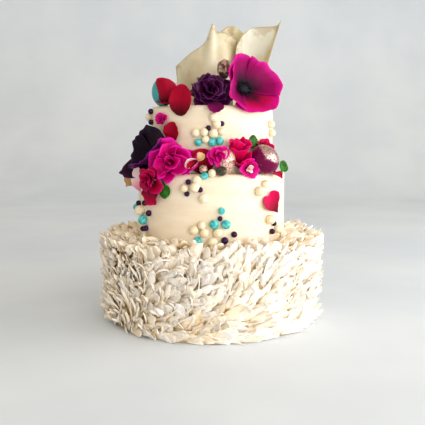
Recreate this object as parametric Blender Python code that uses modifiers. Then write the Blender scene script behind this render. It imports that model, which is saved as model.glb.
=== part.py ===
"""Three-tier wedding cake: two smooth iced tiers with sugar pearls on a wide tier coated in flakes,
dressed with white chocolate sails, flowers, loose petals, leaves and painted chocolate eggs."""

import math
import random

import bmesh
import bpy
from mathutils import Matrix, Vector

# Driving dimensions, in metres. The front of the cake faces -Y and the origin is the middle of its base.
TOP_RADIUS = 0.0764
MIDDLE_RADIUS = 0.0924
BOTTOM_RADIUS = 0.129
BASE_RADIUS = 0.1245
BOTTOM_HEIGHT = 0.099
MIDDLE_HEIGHT = 0.187
TOP_HEIGHT = 0.2655
ICING_ROUND = 0.006
FLAKE_ROUND = 0.014
GAP = 0.0005
PETAL_THICKNESS = 0.0012
CUP_THICKNESS = 0.0014
SAIL_THICKNESS = 0.0018
LEAF_THICKNESS = 0.0011
FLAKE_THICKNESS = 0.0013
WALL_STEPS = 36
SMOOTH_ANGLE = 38.0

# Pearls as (azimuth in degrees from the front, height, diameter), cluster by cluster
TOP_PEARLS = [
    (2.1, 0.2515, 0.0100), (4.5, 0.2440, 0.0100), (9.0, 0.2442, 0.0062), (-2.3, 0.2393, 0.0062),
    (8.7, 0.2350, 0.0088), (1.9, 0.2330, 0.0105), (-5.8, 0.2345, 0.0095), (-12.9, 0.2336, 0.0098),
    (-10.8, 0.2228, 0.0088), (-4.6, 0.2262, 0.0090), (1.0, 0.2230, 0.0098), (7.2, 0.2245, 0.0096),
    (-69.0, 0.2595, 0.0070), (-74.0, 0.2528, 0.0095), (-68.5, 0.2465, 0.0070),
    (66.0, 0.2440, 0.0095), (68.0, 0.2335, 0.0095),
    (158.0, 0.2380, 0.0100), (164.5, 0.2290, 0.0096),
]
MIDDLE_PEARLS = [
    (-16.1, 0.1784, 0.0064), (-7.6, 0.1696, 0.0064), (-17.1, 0.1647, 0.0064), (-11.2, 0.1725, 0.0115),
    (-18.8, 0.1712, 0.0095), (-5.2, 0.1599, 0.0108), (-9.6, 0.1808, 0.0108),
    (7.3, 0.1456, 0.0082), (6.2, 0.1367, 0.0060), (2.0, 0.1302, 0.0108), (10.2, 0.1300, 0.0108),
    (-11.8, 0.1232, 0.0108), (-6.4, 0.1290, 0.0095), (-4.6, 0.1206, 0.0105), (4.6, 0.1205, 0.0112),
    (9.4, 0.1112, 0.0086), (16.2, 0.1180, 0.0072), (1.0, 0.1092, 0.0120), (-9.2, 0.1116, 0.0088),
    (-71.0, 0.1478, 0.0070), (-57.9, 0.1500, 0.0070), (-80.0, 0.1412, 0.0088), (-64.5, 0.1400, 0.0128),
    (-52.0, 0.1386, 0.0076), (-59.5, 0.1294, 0.0116), (-56.6, 0.1196, 0.0070), (-61.8, 0.1180, 0.0066),
    (35.9, 0.1664, 0.0118), (41.6, 0.1745, 0.0092),
    (47.0, 0.1320, 0.0118), (52.6, 0.1262, 0.0066), (50.2, 0.1170, 0.0070), (57.0, 0.1185, 0.0100),
    (132.0, 0.1500, 0.0108), (139.0, 0.1420, 0.0108), (133.0, 0.1350, 0.0070),
    (212.0, 0.1480, 0.0108), (219.0, 0.1400, 0.0070), (209.0, 0.1380, 0.0112),
]
PEARL_SINK = 0.18

# Rows of flakes as (distance from the axis, height, number round, tilt, size), from the foot upwards
FLAKE_ROWS = [
    (BASE_RADIUS + 0.002, 0.013, 16, 0.0, 0.65), (BOTTOM_RADIUS, 0.034, 17, 0.0, 0.90),
    (BOTTOM_RADIUS, 0.054, 18, 0.0, 0.95), (BOTTOM_RADIUS, 0.074, 18, 5.0, 1.0),
    (BOTTOM_RADIUS - 0.003, 0.0925, 17, 35.0, 0.85), (0.110, BOTTOM_HEIGHT, 12, 80.0, 0.75),
]
CORE_STEP = 0.024
FLAKE_SINK = (0.0, -0.008, -0.0012)
FLOOR_CLEARANCE = 0.0006

# Flower heads as rings of (reach, height), in shares of the head's radius and depth
CARNATION_LIPS = [(0.42, 1.0), (0.78, 0.82), (1.0, 0.52)]
BLOSSOM_LIPS = [(0.30, 0.8), (1.0, 0.72)]

# Rims of the two cup flowers as (angle in the flower's plane, reach, rise), with their petals as
# (angle, spread, lift, pointedness)
KNOB_AXES = (0.0085, 0.0085, 0.0065)
CUP_FOOT = 0.0050
MAGENTA_RIM = [
    (29, 0.0312, 0.0260), (60, 0.0283, 0.0240), (86, 0.0348, 0.0220), (105, 0.0364, 0.0210),
    (132, 0.0325, 0.0180), (169, 0.0271, 0.0120), (203, 0.0332, 0.0060), (248, 0.0340, 0.0070),
    (279, 0.0355, 0.0090), (303, 0.0440, 0.0170), (322, 0.0396, 0.0240), (351, 0.0371, 0.0260),
]
MAGENTA_PETALS = [
    (118, 104, 0.0005, 0.0), (24, 116, 0.0012, 0.0), (-78, 122, 0.0, 0.0), (190, 112, 0.0008, 0.0),
]
DARK_RIM = [
    (10, 0.0170, 0.0200), (43, 0.0340, 0.0050), (57, 0.0400, 0.0080), (83, 0.0367, 0.0120),
    (103, 0.0335, 0.0150), (123, 0.0312, 0.0170), (140, 0.0280, 0.0190), (150, 0.0315, 0.0200),
    (173, 0.0262, 0.0180), (195, 0.0250, 0.0220), (219, 0.0373, 0.0290), (245, 0.0220, 0.0270),
    (276, 0.0170, 0.0310), (330, 0.0165, 0.0240),
]
DARK_PETALS = [(88, 112, 0.0, 0.0), (162, 94, 0.0010, 0.0), (219, 90, 0.0005, 0.5), (-32, 150, 0.0018, 0.0)]

parts = bpy.data.collections.new("wedding_cake")
helpers = bpy.data.collections.new("helpers")


def clear_scene():
    """Removes the startup objects and makes the two collections."""
    for existing in list(bpy.data.objects):
        bpy.data.objects.remove(existing)
    bpy.context.scene.collection.children.link(parts)
    bpy.context.scene.collection.children.link(helpers)


def material(name, color, roughness, metallic=0.0):
    """A Principled finish in one colour."""
    made = bpy.data.materials.new(name)
    made.use_nodes = True
    shader = made.node_tree.nodes["Principled BSDF"]
    shader.inputs["Base Color"].default_value = (*color, 1.0)
    shader.inputs["Roughness"].default_value = roughness
    shader.inputs["Metallic"].default_value = metallic
    return made


def new_object(name, mesh, finish, matrix=None, collection=parts):
    """An object holding the mesh, placed by the matrix."""
    made = bpy.data.objects.new(name, mesh)
    if finish and not mesh.materials:
        mesh.materials.append(finish)
    collection.objects.link(made)
    if matrix is not None:
        made.matrix_world = matrix
    bpy.context.view_layer.update()
    return made


def apply_modifiers(target):
    """Replaces the object's mesh by what its modifiers make of it."""
    graph = bpy.context.evaluated_depsgraph_get()
    mesh = bpy.data.meshes.new_from_object(target.evaluated_get(graph), depsgraph=graph)
    target.modifiers.clear()
    target.data = mesh
    bpy.context.view_layer.update()


def triangulate(mesh):
    """Splits every face into triangles, so that no bent quad is left to cut along."""
    shell = bmesh.new()
    shell.from_mesh(mesh)
    bmesh.ops.triangulate(shell, faces=shell.faces)
    shell.to_mesh(mesh)
    shell.free()


def remove_all(objects):
    for helper in list(objects):
        bpy.data.objects.remove(helper)


def body_volume(faces):
    """Signed volume of a closed set of faces, summed over the tetrahedra that they make with the origin."""
    total = 0.0
    for face in faces:
        first = face.verts[0].co
        for a, b in zip(face.verts[1:-1], face.verts[2:]):
            total += first.dot(a.co.cross(b.co)) / 6.0
    return total


def keep_largest_body(target):
    """Drops loose scraps and sealed hollows, so that one closed body stays."""
    shell = bmesh.new()
    shell.from_mesh(target.data)
    waiting = set(shell.faces)
    bodies = []
    while waiting:
        stack = [waiting.pop()]
        body = list(stack)
        while stack:
            for edge in stack.pop().edges:
                if len(edge.link_faces) != 2:
                    continue
                for other in edge.link_faces:
                    if other in waiting:
                        waiting.remove(other)
                        stack.append(other)
                        body.append(other)
        bodies.append((body_volume(body), body))
    bodies.sort(key=lambda found: found[0])
    scraps = [face for _, body in bodies[:-1] for face in body]
    bmesh.ops.delete(shell, geom=scraps, context="FACES")
    bmesh.ops.delete(shell, geom=[v for v in shell.verts if not v.link_faces], context="VERTS")
    shell.to_mesh(target.data)
    shell.free()


def boolean(target, operation, collection):
    """Joins the target with a collection, or cuts it with one, and keeps its largest body."""
    modifier = target.modifiers.new(operation.lower(), "BOOLEAN")
    modifier.operation = operation
    modifier.solver = "MANIFOLD"
    modifier.operand_type = "COLLECTION"
    modifier.collection = collection
    apply_modifiers(target)
    keep_largest_body(target)


def fuse(target, joined):
    """Joins the objects onto the target with one union on their collection, then removes them."""
    group = bpy.data.collections.new("joined")
    bpy.context.scene.collection.children.link(group)
    for piece in joined:
        helpers.objects.unlink(piece)
        group.objects.link(piece)
    boolean(target, "UNION", group)
    remove_all(group.objects)
    bpy.data.collections.remove(group)


def corners(target):
    """Lowest and highest corner of the object in world space."""
    points = [target.matrix_world @ vertex.co for vertex in target.data.vertices]
    low = Vector(min(p[axis] for p in points) for axis in range(3))
    high = Vector(max(p[axis] for p in points) for axis in range(3))
    return low, high


def keep_clear(target, neighbours):
    """Cuts the target back from each neighbour that it would touch, leaving the gap.
    The plain copy of the neighbour goes with the grown one, whose folds may lie inside it."""
    low, high = corners(target)
    group = bpy.data.collections.new("cutters")
    bpy.context.scene.collection.children.link(group)
    for neighbour in neighbours:
        other_low, other_high = corners(neighbour)
        if any(low[k] > other_high[k] + GAP or high[k] < other_low[k] - GAP for k in range(3)):
            continue
        for strength in (GAP, 0.0):
            cutter = new_object("cutter", neighbour.data.copy(), None, neighbour.matrix_world, group)
            if strength:
                grow = cutter.modifiers.new("gap", "DISPLACE")
                grow.strength = strength
                grow.mid_level = 0.0
    if len(group.objects):
        boolean(target, "DIFFERENCE", group)
    remove_all(group.objects)
    bpy.data.collections.remove(group)


def outward(azimuth):
    """Level unit vector away from the cake's axis; azimuth 0 is the front, 90 the right side."""
    angle = math.radians(azimuth)
    return Vector((math.sin(angle), -math.cos(angle), 0.0))


def polar(azimuth, radius, height):
    """A point given by its azimuth, its distance from the axis and its height."""
    return outward(azimuth) * radius + Vector((0.0, 0.0, height))


def facing(location, azimuth, tilt=0.0, roll=0.0):
    """Placement whose local Z looks along the azimuth, raised by tilt; local Y is up, rolled about Z."""
    out = outward(azimuth)
    side = Vector((math.cos(math.radians(azimuth)), math.sin(math.radians(azimuth)), 0.0))
    rise = math.radians(tilt)
    look = out * math.cos(rise) + Vector((0.0, 0.0, math.sin(rise)))
    up = look.cross(side)
    turn = Matrix((side, up, look)).transposed().to_4x4()
    return Matrix.Translation(location) @ turn @ Matrix.Rotation(math.radians(roll), 4, "Z")


def turned_mesh(name, profile, steps):
    """Closed turned solid from a profile of (radius, height) points that runs from the top to the bottom."""
    line = bpy.data.meshes.new(name)
    points = [(radius, 0.0, height) for radius, height in profile]
    line.from_pydata(points, [(k, k + 1) for k in range(len(points) - 1)], [])
    turner = new_object(name, line, None, collection=helpers)
    screw = turner.modifiers.new("turn", "SCREW")
    screw.steps = steps
    screw.render_steps = steps
    screw.use_merge_vertices = True
    screw.merge_threshold = 0.00001
    apply_modifiers(turner)
    mesh = turner.data
    bpy.data.objects.remove(turner)
    return mesh


def tier_profile(radius, bottom, top, rounding, arc_steps=3):
    """Half outline of an iced tier with a rounded upper edge."""
    arc = []
    for k in range(arc_steps + 1):
        angle = math.pi / 2 * (1 - k / arc_steps)
        arc.append((radius - rounding * (1 - math.cos(angle)), top - rounding * (1 - math.sin(angle))))
    return [(0.0, top), *arc, (radius, bottom), (0.0, bottom)]


def pearl(radius, azimuth, height, diameter, finish):
    """A sugar pearl pressed a little into the wall of a tier."""
    ball = bmesh.new()
    bmesh.ops.create_uvsphere(ball, u_segments=6, v_segments=4, radius=diameter / 2)
    mesh = bpy.data.meshes.new("pearl")
    ball.to_mesh(mesh)
    ball.free()
    stand_off = radius + diameter * (0.5 - PEARL_SINK)
    return new_object("pearl", mesh, finish, facing(polar(azimuth, stand_off, height), azimuth), helpers)


def iced_tier(name, radius, bottom, top, pearls, finish):
    """A smooth iced tier with its pearls fused to the wall."""
    profile = tier_profile(radius, bottom, top, ICING_ROUND)
    tier = new_object(name, turned_mesh(name, profile, WALL_STEPS), finish)
    fuse(tier, [pearl(radius, *spot, finish) for spot in pearls])
    return tier


def grid_mesh(name, columns, rows, shape):
    """Open sheet: each grid point (u, v), both from -1 to 1, goes where the shape function says."""
    sheet = bmesh.new()
    bmesh.ops.create_grid(sheet, x_segments=columns, y_segments=rows, size=1.0)
    for vertex in sheet.verts:
        vertex.co = shape(vertex.co.x, vertex.co.y)
    bmesh.ops.triangulate(sheet, faces=sheet.faces)
    mesh = bpy.data.meshes.new(name)
    sheet.to_mesh(mesh)
    sheet.free()
    return mesh


def sheet_solid(name, mesh, thickness, finish, matrix, collection):
    """Gives an open sheet its thickness, half to each side."""
    solid = new_object(name, mesh, finish, matrix, collection)
    wall = solid.modifiers.new("thickness", "SOLIDIFY")
    wall.thickness = thickness
    wall.offset = 0.0
    apply_modifiers(solid)
    triangulate(solid.data)
    return solid


def petal_shape(length, width, cup=0.0, curl=0.0, wave=0.0, waves=3, narrow=0.55, point=0.0, notch=0.0):
    """Petal along +Y from its foot at the origin: a disc stretched to an egg outline.
    Its sides rise by cup and its tip by curl along +Z, its rim waves by wave, and notch dents its tip."""

    def shape(u, v):
        x = u * math.sqrt(1 - v * v / 2)
        y = v * math.sqrt(1 - u * u / 2)
        along = (y + 1) / 2
        reach = math.hypot(x, y)
        taper = narrow + (1 - narrow) * math.sin(math.pi / 2 * min(1.0, along * 1.3))
        taper *= 1 - point * max(0.0, along - 0.6) / 0.4
        rise = cup * x * x * (0.4 + 0.6 * along) + curl * along * along
        rise += wave * reach**3 * math.sin(waves * math.atan2(x, y) + 0.7)
        dip = 1 - notch * along**3 * math.exp(-((x / 0.3) ** 2))
        return Vector((x * width / 2 * taper, length * along * dip, rise))

    return shape


def single_petal(name, finish, matrix, columns=3, rows=3, **form):
    """A loose petal as a node of its own."""
    mesh = grid_mesh(name, columns, rows, petal_shape(**form))
    return sheet_solid(name, mesh, PETAL_THICKNESS, finish, matrix, parts)


def leaf(name, finish, matrix, length, width, fold, droop, stalk=0.0):
    """A leaf with a folded midrib, its tip drooping; stalk is the share of its length before the blade."""

    def shape(u, v):
        along = (v + 1) / 2
        blade = max(0.0, (along - stalk) / (1 - stalk))
        half = width / 2 * (0.16 + 0.84 * math.sin(math.pi * blade**0.85) ** 0.7)
        return Vector((u * half, length * along, fold * abs(u) - droop * along * along))

    return sheet_solid(name, grid_mesh(name, 2, 5, shape), LEAF_THICKNESS, finish, matrix, parts)


def ball(name, finish, matrix, semi, segments=10, rings=7, taper=0.0, collection=parts):
    """An egg or truffle with three half axes; taper narrows it towards its local +Y end."""
    shell = bmesh.new()
    bmesh.ops.create_uvsphere(shell, u_segments=segments, v_segments=rings, radius=1.0)
    for vertex in shell.verts:
        narrower = 1 - taper * vertex.co.y
        vertex.co = Vector(
            (vertex.co.x * semi[0] * narrower, vertex.co.y * semi[1], vertex.co.z * semi[2] * narrower)
        )
    mesh = bpy.data.meshes.new(name)
    shell.to_mesh(mesh)
    shell.free()
    return new_object(name, mesh, finish, matrix, collection)


def frilled_head(name, finish, matrix, radius, depth, lips, lobes, frill, steps=16):
    """A flower head turned from rings: each lip of (reach, height) stands out between two valleys,
    and its rim waves in and out in lobes that shift from lip to lip."""
    profile = [(0.0, lips[0][1] * 0.9), lips[0]]
    for reach, height in lips[1:]:
        profile.append((reach * 0.62, height * 0.9))
        profile.append((reach, height))
    profile.append((0.24, 0.0))
    profile.append((0.0, 0.0))
    mesh = turned_mesh(name, profile, steps)
    for vertex in mesh.vertices:
        reach = math.hypot(vertex.co.x, vertex.co.y)
        angle = math.atan2(vertex.co.y, vertex.co.x)
        weight = min(1.0, reach / 0.9)
        swing = math.sin(lobes * angle + 4.0 * vertex.co.z)
        scale = radius * (1 + frill * weight * swing)
        lift = 0.10 * weight * math.cos(lobes * angle + 5.0 * vertex.co.z)
        vertex.co = Vector((vertex.co.x * scale, vertex.co.y * scale, (vertex.co.z + lift * weight) * depth))
    triangulate(mesh)
    return new_object(name, mesh, finish, matrix)


def rim_at(rim, angle):
    """Reach and rise of a cup's rim at an angle, read evenly between the rim's points."""
    angle = (angle - rim[0][0]) % 360 + rim[0][0]
    closed = [*rim, (rim[0][0] + 360, *rim[0][1:])]
    for (a, reach, rise), (b, next_reach, next_rise) in zip(closed, closed[1:]):
        if a <= angle <= b:
            share = (angle - a) / (b - a)
            return reach + (next_reach - reach) * share, rise + (next_rise - rise) * share


def cupped_flower(name, finish, matrix, rim, petals, foot):
    """A poppy-like flower: broad petals fan out of a seed head and rise to the uneven rim of a cup.
    foot is a point on the cake that its stem reaches."""
    flower = ball(name, finish, matrix, KNOB_AXES, 8, 5)
    joined = [stem(matrix.translation, foot, finish)]
    for angle, spread, lift, point in petals:

        def shape(u, v):
            along = (v + 1) / 2
            turn = angle + u * spread / 2
            reach, rise = rim_at(rim, turn)
            fan = (0.34 + 0.66 * math.sin(math.pi / 2 * along)) * (1 - point * along * along)
            turn = math.radians(angle + u * spread / 2 * fan)
            along *= 1 - 0.12 * abs(u) ** 3
            out = CUP_FOOT + (reach - CUP_FOOT) * along**0.9
            return Vector((out * math.cos(turn), out * math.sin(turn), rise * along**1.7 + lift))

        mesh = grid_mesh("petal", 4, 3, shape)
        joined.append(sheet_solid("petal", mesh, CUP_THICKNESS, finish, matrix, helpers))
    fuse(flower, joined)
    return flower


def stem(start, end, finish, radius=0.0028):
    """A straight cut stem between two points."""
    rod = bmesh.new()
    run = end - start
    bmesh.ops.create_cone(
        rod, cap_ends=True, cap_tris=True, segments=6, radius1=radius, radius2=radius, depth=run.length
    )
    mesh = bpy.data.meshes.new("stem")
    rod.to_mesh(mesh)
    rod.free()
    turn = run.to_track_quat("Z", "Y").to_matrix().to_4x4()
    return new_object("stem", mesh, finish, Matrix.Translation((start + end) / 2) @ turn, helpers)


def smooth_between(points, share):
    """Point at a share from 0 to 1 along a Catmull-Rom curve through the points."""
    spans = len(points) - 1
    k = min(int(share * spans), spans - 1)
    t = share * spans - k
    p0, p1, p2, p3 = (Vector(points[max(0, min(spans, k + d))]) for d in (-1, 0, 1, 2))
    bend = p0 * -1 + p1 * 3 - p2 * 3 + p3
    return p1 + (p2 - p0) * (t / 2) + (p0 * 2 - p1 * 5 + p2 * 4 - p3) * (t * t / 2) + bend * (t**3 / 2)


def sail(name, finish, foot_line, top_line, belly, columns=7, rows=5):
    """A curved chocolate sheet from its foot on the cake to its torn upper edge, bellied to the front."""

    def shape(u, v):
        across, up = (u + 1) / 2, (v + 1) / 2
        low, high = smooth_between(foot_line, across), smooth_between(top_line, across)
        point = low.lerp(high, up)
        point.y -= belly * math.sin(math.pi * up) * math.sin(math.pi * across)
        return point

    return sheet_solid(name, grid_mesh(name, columns, rows, shape), SAIL_THICKNESS, finish, None, parts)


def flake(matrix, length, width, bend, finish):
    """A curved flake: a strip of two panels, narrow at the tail and the tip, bent away from the wall."""

    def shape(u, v):
        along = (v + 1) / 2
        half = width / 2 * (0.40 + 0.60 * math.sin(math.pi * along))
        return Vector((u * half, length * along, bend * along * along))

    return sheet_solid("flake", grid_mesh("flake", 1, 2, shape), FLAKE_THICKNESS, finish, matrix, helpers)


def flake_spots():
    """Where each flake grows from the bottom tier, as (point, azimuth, tilt, size), in staggered rows."""
    spots = []
    for row, (radius, height, columns, tilt, size) in enumerate(FLAKE_ROWS):
        for column in range(columns):
            azimuth = 360 / columns * (column + 0.5 * (row % 2))
            spots.append((polar(azimuth, radius, height), azimuth, tilt, size))
    return spots


def flaked_tier(name, finish):
    """The bottom tier: a rounded core with the largest flakes standing out of its wall and its top."""
    draw = random.Random(7)
    profile = tier_profile(BOTTOM_RADIUS, CORE_STEP, BOTTOM_HEIGHT, FLAKE_ROUND)
    profile[-1:] = [(BASE_RADIUS, 0.0), (0.0, 0.0)]
    tier = new_object(name, turned_mesh(name, profile, WALL_STEPS), finish)
    flakes = []
    for point, azimuth, tilt, size in flake_spots():
        turn = facing(point, azimuth + draw.uniform(-4, 4), tilt, draw.gauss(-25, 40))
        lean = Matrix.Rotation(math.radians(draw.uniform(26, 46)), 4, "X")
        sink = Matrix.Translation(FLAKE_SINK)
        length, width = draw.uniform(0.030, 0.036) * size, draw.uniform(0.014, 0.019) * size
        made = flake(turn @ lean @ sink, length, width, draw.uniform(-0.005, 0.003), finish)
        low, high = corners(made)
        made.location.z += max(0.0, FLOOR_CLEARANCE - low.z)
        flakes.append(made)
    bpy.context.view_layer.update()
    fuse(tier, flakes)
    return tier


clear_scene()

ivory = material("ivory_icing", (0.90, 0.84, 0.68), 0.5)
coconut = material("white_flakes", (0.93, 0.90, 0.82), 0.6)
chocolate = material("white_chocolate", (0.86, 0.80, 0.64), 0.35)
magenta = material("magenta_petal", (0.55, 0.01, 0.25), 0.5)
plum = material("plum_petal", (0.09, 0.01, 0.08), 0.5)
crimson = material("crimson_petal", (0.50, 0.01, 0.04), 0.5)
blush = material("blush_petal", (0.80, 0.52, 0.50), 0.5)
cream = material("cream_petal", (0.76, 0.60, 0.40), 0.5)
green = material("leaf", (0.05, 0.18, 0.04), 0.45)
bronze = material("bronze_lustre", (0.30, 0.20, 0.14), 0.35, 0.8)
teal = material("teal_shell", (0.05, 0.42, 0.36), 0.3)
wine = material("wine_shell", (0.22, 0.01, 0.09), 0.2)

# Tiers
top_tier = iced_tier("top_tier", TOP_RADIUS, MIDDLE_HEIGHT + GAP, TOP_HEIGHT, TOP_PEARLS, ivory)
middle_tier = iced_tier(
    "middle_tier", MIDDLE_RADIUS, BOTTOM_HEIGHT + GAP, MIDDLE_HEIGHT, MIDDLE_PEARLS, ivory
)
bottom_tier = flaked_tier("bottom_tier", coconut)
placed = [top_tier, middle_tier]
keep_clear(bottom_tier, [middle_tier])
placed.append(bottom_tier)


def settle(*pieces):
    """Cuts each new piece back from what was placed before it, so that they meet with the gap between."""
    for piece in pieces:
        keep_clear(piece, placed)
        placed.append(piece)


# White chocolate sails on the top tier
FOOT = TOP_HEIGHT + 0.0007
settle(
    sail(
        "sail_left", chocolate,
        [(-0.040, 0.012, FOOT), (-0.026, -0.012, FOOT), (-0.004, -0.020, FOOT), (0.016, -0.014, FOOT),
         (0.027, 0.002, FOOT)],
        [(-0.045, 0.016, 0.3175), (-0.026, -0.006, 0.3310), (-0.008, -0.012, 0.3435),
         (0.0015, -0.010, 0.3655), (0.007, -0.008, 0.3570), (0.019, -0.008, 0.3550),
         (0.0325, 0.004, 0.3480)],
        0.008,
    ),
    sail(
        "sail_right", chocolate,
        [(0.026, -0.010, FOOT), (0.034, 0.002, FOOT), (0.044, 0.006, FOOT), (0.054, 0.000, FOOT)],
        [(0.0305, -0.010, 0.3390), (0.0380, -0.004, 0.3525), (0.0442, 0.002, 0.3592),
         (0.0529, 0.008, 0.3644), (0.0790, 0.009, 0.3662), (0.0846, 0.006, 0.3690), (0.0875, 0.004, 0.3733)],
        -0.004,
    ),
    sail(
        "sail_back", chocolate,
        [(-0.018, 0.022, FOOT), (0.004, 0.030, FOOT), (0.028, 0.028, FOOT)],
        [(-0.010, 0.026, 0.3420), (0.014, 0.030, 0.3640), (0.026, 0.030, 0.3700), (0.037, 0.028, 0.3640),
         (0.050, 0.024, 0.3500)],
        -0.006, columns=6,
    ),
)

# Painted eggs and truffles
settle(
    ball("egg_teal", teal, facing((-0.0585, -0.0290, 0.2825), -60), (0.0135, 0.0175, 0.0135), taper=0.1),
    ball(
        "egg_purple", wine, facing(polar(42, 0.0920, 0.2028), 38, 12, -38), (0.0192, 0.0165, 0.0165),
        taper=0.06,
    ),
    ball(
        "egg_speckled", bronze, facing(polar(10.8, 0.0876, 0.2025), 12, 0, -8), (0.0112, 0.0158, 0.0112),
        taper=0.1,
    ),
    ball(
        "egg_back", teal, facing(polar(208, 0.0880, 0.2010), 208, 0, 20), (0.0115, 0.0145, 0.0115),
        taper=0.1,
    ),
    ball("truffle_small", bronze, facing(polar(7.2, 0.0948, 0.1912), 8), (0.0067, 0.0067, 0.0067), 8, 5),
    ball("truffle_gold", bronze, facing(polar(-5.6, 0.0885, 0.1925), -5), (0.0056, 0.0056, 0.0056), 8, 5),
)

# Flowers on the top tier, and the truffle that rests on them
settle(
    frilled_head(
        "carnation_purple", plum, facing((-0.001, -0.0455, 0.2735), -2, 32, 10), 0.0258, 0.0305,
        CARNATION_LIPS, 7, 0.12,
    ),
    cupped_flower(
        "anemone_magenta", magenta, facing((0.0385, -0.0500, 0.2855), 41, 25, 0), MAGENTA_RIM,
        MAGENTA_PETALS, Vector((0.036, -0.044, TOP_HEIGHT + GAP)),
    ),
    ball("truffle_bronze", bronze, facing((0.0160, -0.0440, 0.3088), 0), (0.0108, 0.0118, 0.0108), 9, 6),
)

# Flowers on the ledge round the top tier
settle(
    frilled_head(
        "carnation_magenta", magenta, facing(polar(-33.5, 0.0745, 0.1990), -22, 4, 5), 0.0265, 0.0340,
        CARNATION_LIPS, 7, 0.13,
    ),
    cupped_flower(
        "anemone_dark", plum, facing(polar(-53, 0.0840, 0.2040), -58, 8, 0), DARK_RIM, DARK_PETALS,
        polar(-54, 0.0762, 0.2000),
    ),
    frilled_head(
        "blossom_crimson", crimson, facing(polar(-43.5, 0.0975, 0.1790), -38, -4, 0), 0.0158, 0.0165,
        CARNATION_LIPS, 5, 0.16, steps=12,
    ),
    frilled_head(
        "blossom_magenta", magenta, facing(polar(5.4, 0.0902, 0.2073), 2, 8, 15), 0.0128, 0.0120,
        BLOSSOM_LIPS, 5, 0.18, steps=12,
    ),
    frilled_head(
        "carnation_red", crimson, facing(polar(23.5, 0.0810, 0.1925), -4, 66, 0), 0.0128, 0.0375,
        CARNATION_LIPS, 5, 0.14, steps=12,
    ),
    frilled_head(
        "blossom_pink", magenta, facing(polar(27.5, 0.0915, 0.1930), 24, -4, 8), 0.0138, 0.0105,
        BLOSSOM_LIPS, 5, 0.20, steps=12,
    ),
    frilled_head(
        "blossom_red", crimson, facing(polar(50, 0.0790, 0.2125), 46, 42, 0), 0.0125, 0.0150,
        CARNATION_LIPS, 5, 0.15, steps=12,
    ),
    frilled_head(
        "bud_magenta", magenta, facing(polar(-47.8, 0.0765, 0.2490), -40, 10, 0), 0.0080, 0.0090,
        CARNATION_LIPS, 5, 0.14, steps=10,
    ),
    frilled_head(
        "carnation_back", magenta, facing(polar(180, 0.0750, 0.2030), 180, 8, 0), 0.0240, 0.0310,
        CARNATION_LIPS, 7, 0.13, steps=14,
    ),
    frilled_head(
        "blossom_back", crimson, facing(polar(-112, 0.0765, 0.1990), -112, 15, 0), 0.0150, 0.0170,
        CARNATION_LIPS, 5, 0.15, steps=12,
    ),
    frilled_head(
        "carnation_side", plum, facing(polar(138, 0.0755, 0.2010), 138, 12, 0), 0.0185, 0.0240,
        CARNATION_LIPS, 7, 0.12, steps=14,
    ),
    frilled_head(
        "blossom_cream", cream, facing(polar(-10.5, 0.0885, 0.1990), -12, 14, 0), 0.0110, 0.0085,
        BLOSSOM_LIPS, 5, 0.22, steps=12,
    ),
)

# Loose petals
settle(
    single_petal(
        "petal_front", crimson, facing(polar(-27.5, 0.0790, 0.2530), -24, -4, -7),
        length=0.0375, width=0.0285, cup=-0.004, curl=-0.003, wave=0.0012, narrow=0.9, point=0.35,
    ),
    single_petal(
        "petal_dome", crimson, facing((-0.0535, -0.0470, 0.2660), -30, -8, 8),
        length=0.0330, width=0.0300, cup=-0.010, curl=-0.004, wave=0.0008, narrow=0.75,
    ),
    single_petal(
        "petal_edge", crimson, facing(polar(-40.0, 0.0750, 0.2678), -53, 84, 90),
        length=0.0300, width=0.0100, cup=0.001, curl=-0.001, point=0.5,
    ),
    single_petal(
        "petal_plum", plum, facing((0.0050, -0.0765, 0.2690), 2, 35, 180),
        length=0.0165, width=0.0200, cup=-0.003, curl=-0.003, wave=0.0015, narrow=0.8,
    ),
    single_petal(
        "petal_tip", blush, facing((-0.0450, -0.0240, 0.2655), -30, 5, -4),
        length=0.0300, width=0.0120, cup=-0.003, curl=0.002, point=0.6,
    ),
    single_petal(
        "petal_wine", crimson, facing(polar(-36.5, 0.0790, 0.2205), -34, 2, -8),
        length=0.0265, width=0.0220, cup=0.003, curl=0.000, wave=0.0010, narrow=0.8,
    ),
    single_petal(
        "petal_low", crimson, facing(polar(-45.0, 0.0965, 0.1715), -38, 0, 178),
        length=0.0270, width=0.0300, cup=-0.004, curl=-0.003, wave=0.0025, waves=4,
    ),
    single_petal(
        "petal_blush", blush, facing(polar(-59.0, 0.1020, 0.1685), -48, 4, 8),
        length=0.0265, width=0.0230, cup=-0.005, curl=-0.002, wave=0.0015, narrow=0.7,
    ),
    single_petal(
        "petal_cream", cream, facing(polar(-76.0, 0.0950, 0.1850), -55, 28, 176),
        length=0.0240, width=0.0290, cup=-0.003, curl=0.003, wave=0.0025,
    ),
    single_petal(
        "petal_arc", crimson, facing(polar(-7.0, 0.0795, 0.1870), -6, 4, 4),
        length=0.0290, width=0.0320, cup=-0.002, curl=-0.003, wave=0.0010, narrow=0.8,
    ),
    single_petal(
        "petal_point", crimson, facing(polar(52.0, 0.0850, 0.1890), 54, 60, 184),
        length=0.0220, width=0.0200, cup=-0.001, curl=-0.004, point=0.85,
    ),
    single_petal(
        "petal_heart", crimson, facing(polar(53.0, 0.0985, 0.1390), 34, 2, 31), columns=4, rows=4,
        length=0.0275, width=0.0330, cup=-0.002, curl=0.001, wave=0.0008, narrow=0.3, notch=0.16,
    ),
    single_petal(
        "petal_back_left", crimson, facing(polar(-130.0, 0.0930, 0.1820), -130, 40, 176),
        length=0.0270, width=0.0240, cup=-0.003, curl=-0.004, wave=0.0012,
    ),
    single_petal(
        "petal_back_top", crimson, facing((-0.0100, 0.0480, 0.2665), 175, 70, 20),
        length=0.0280, width=0.0240, cup=0.003, curl=0.003, wave=0.0012,
    ),
)

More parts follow.
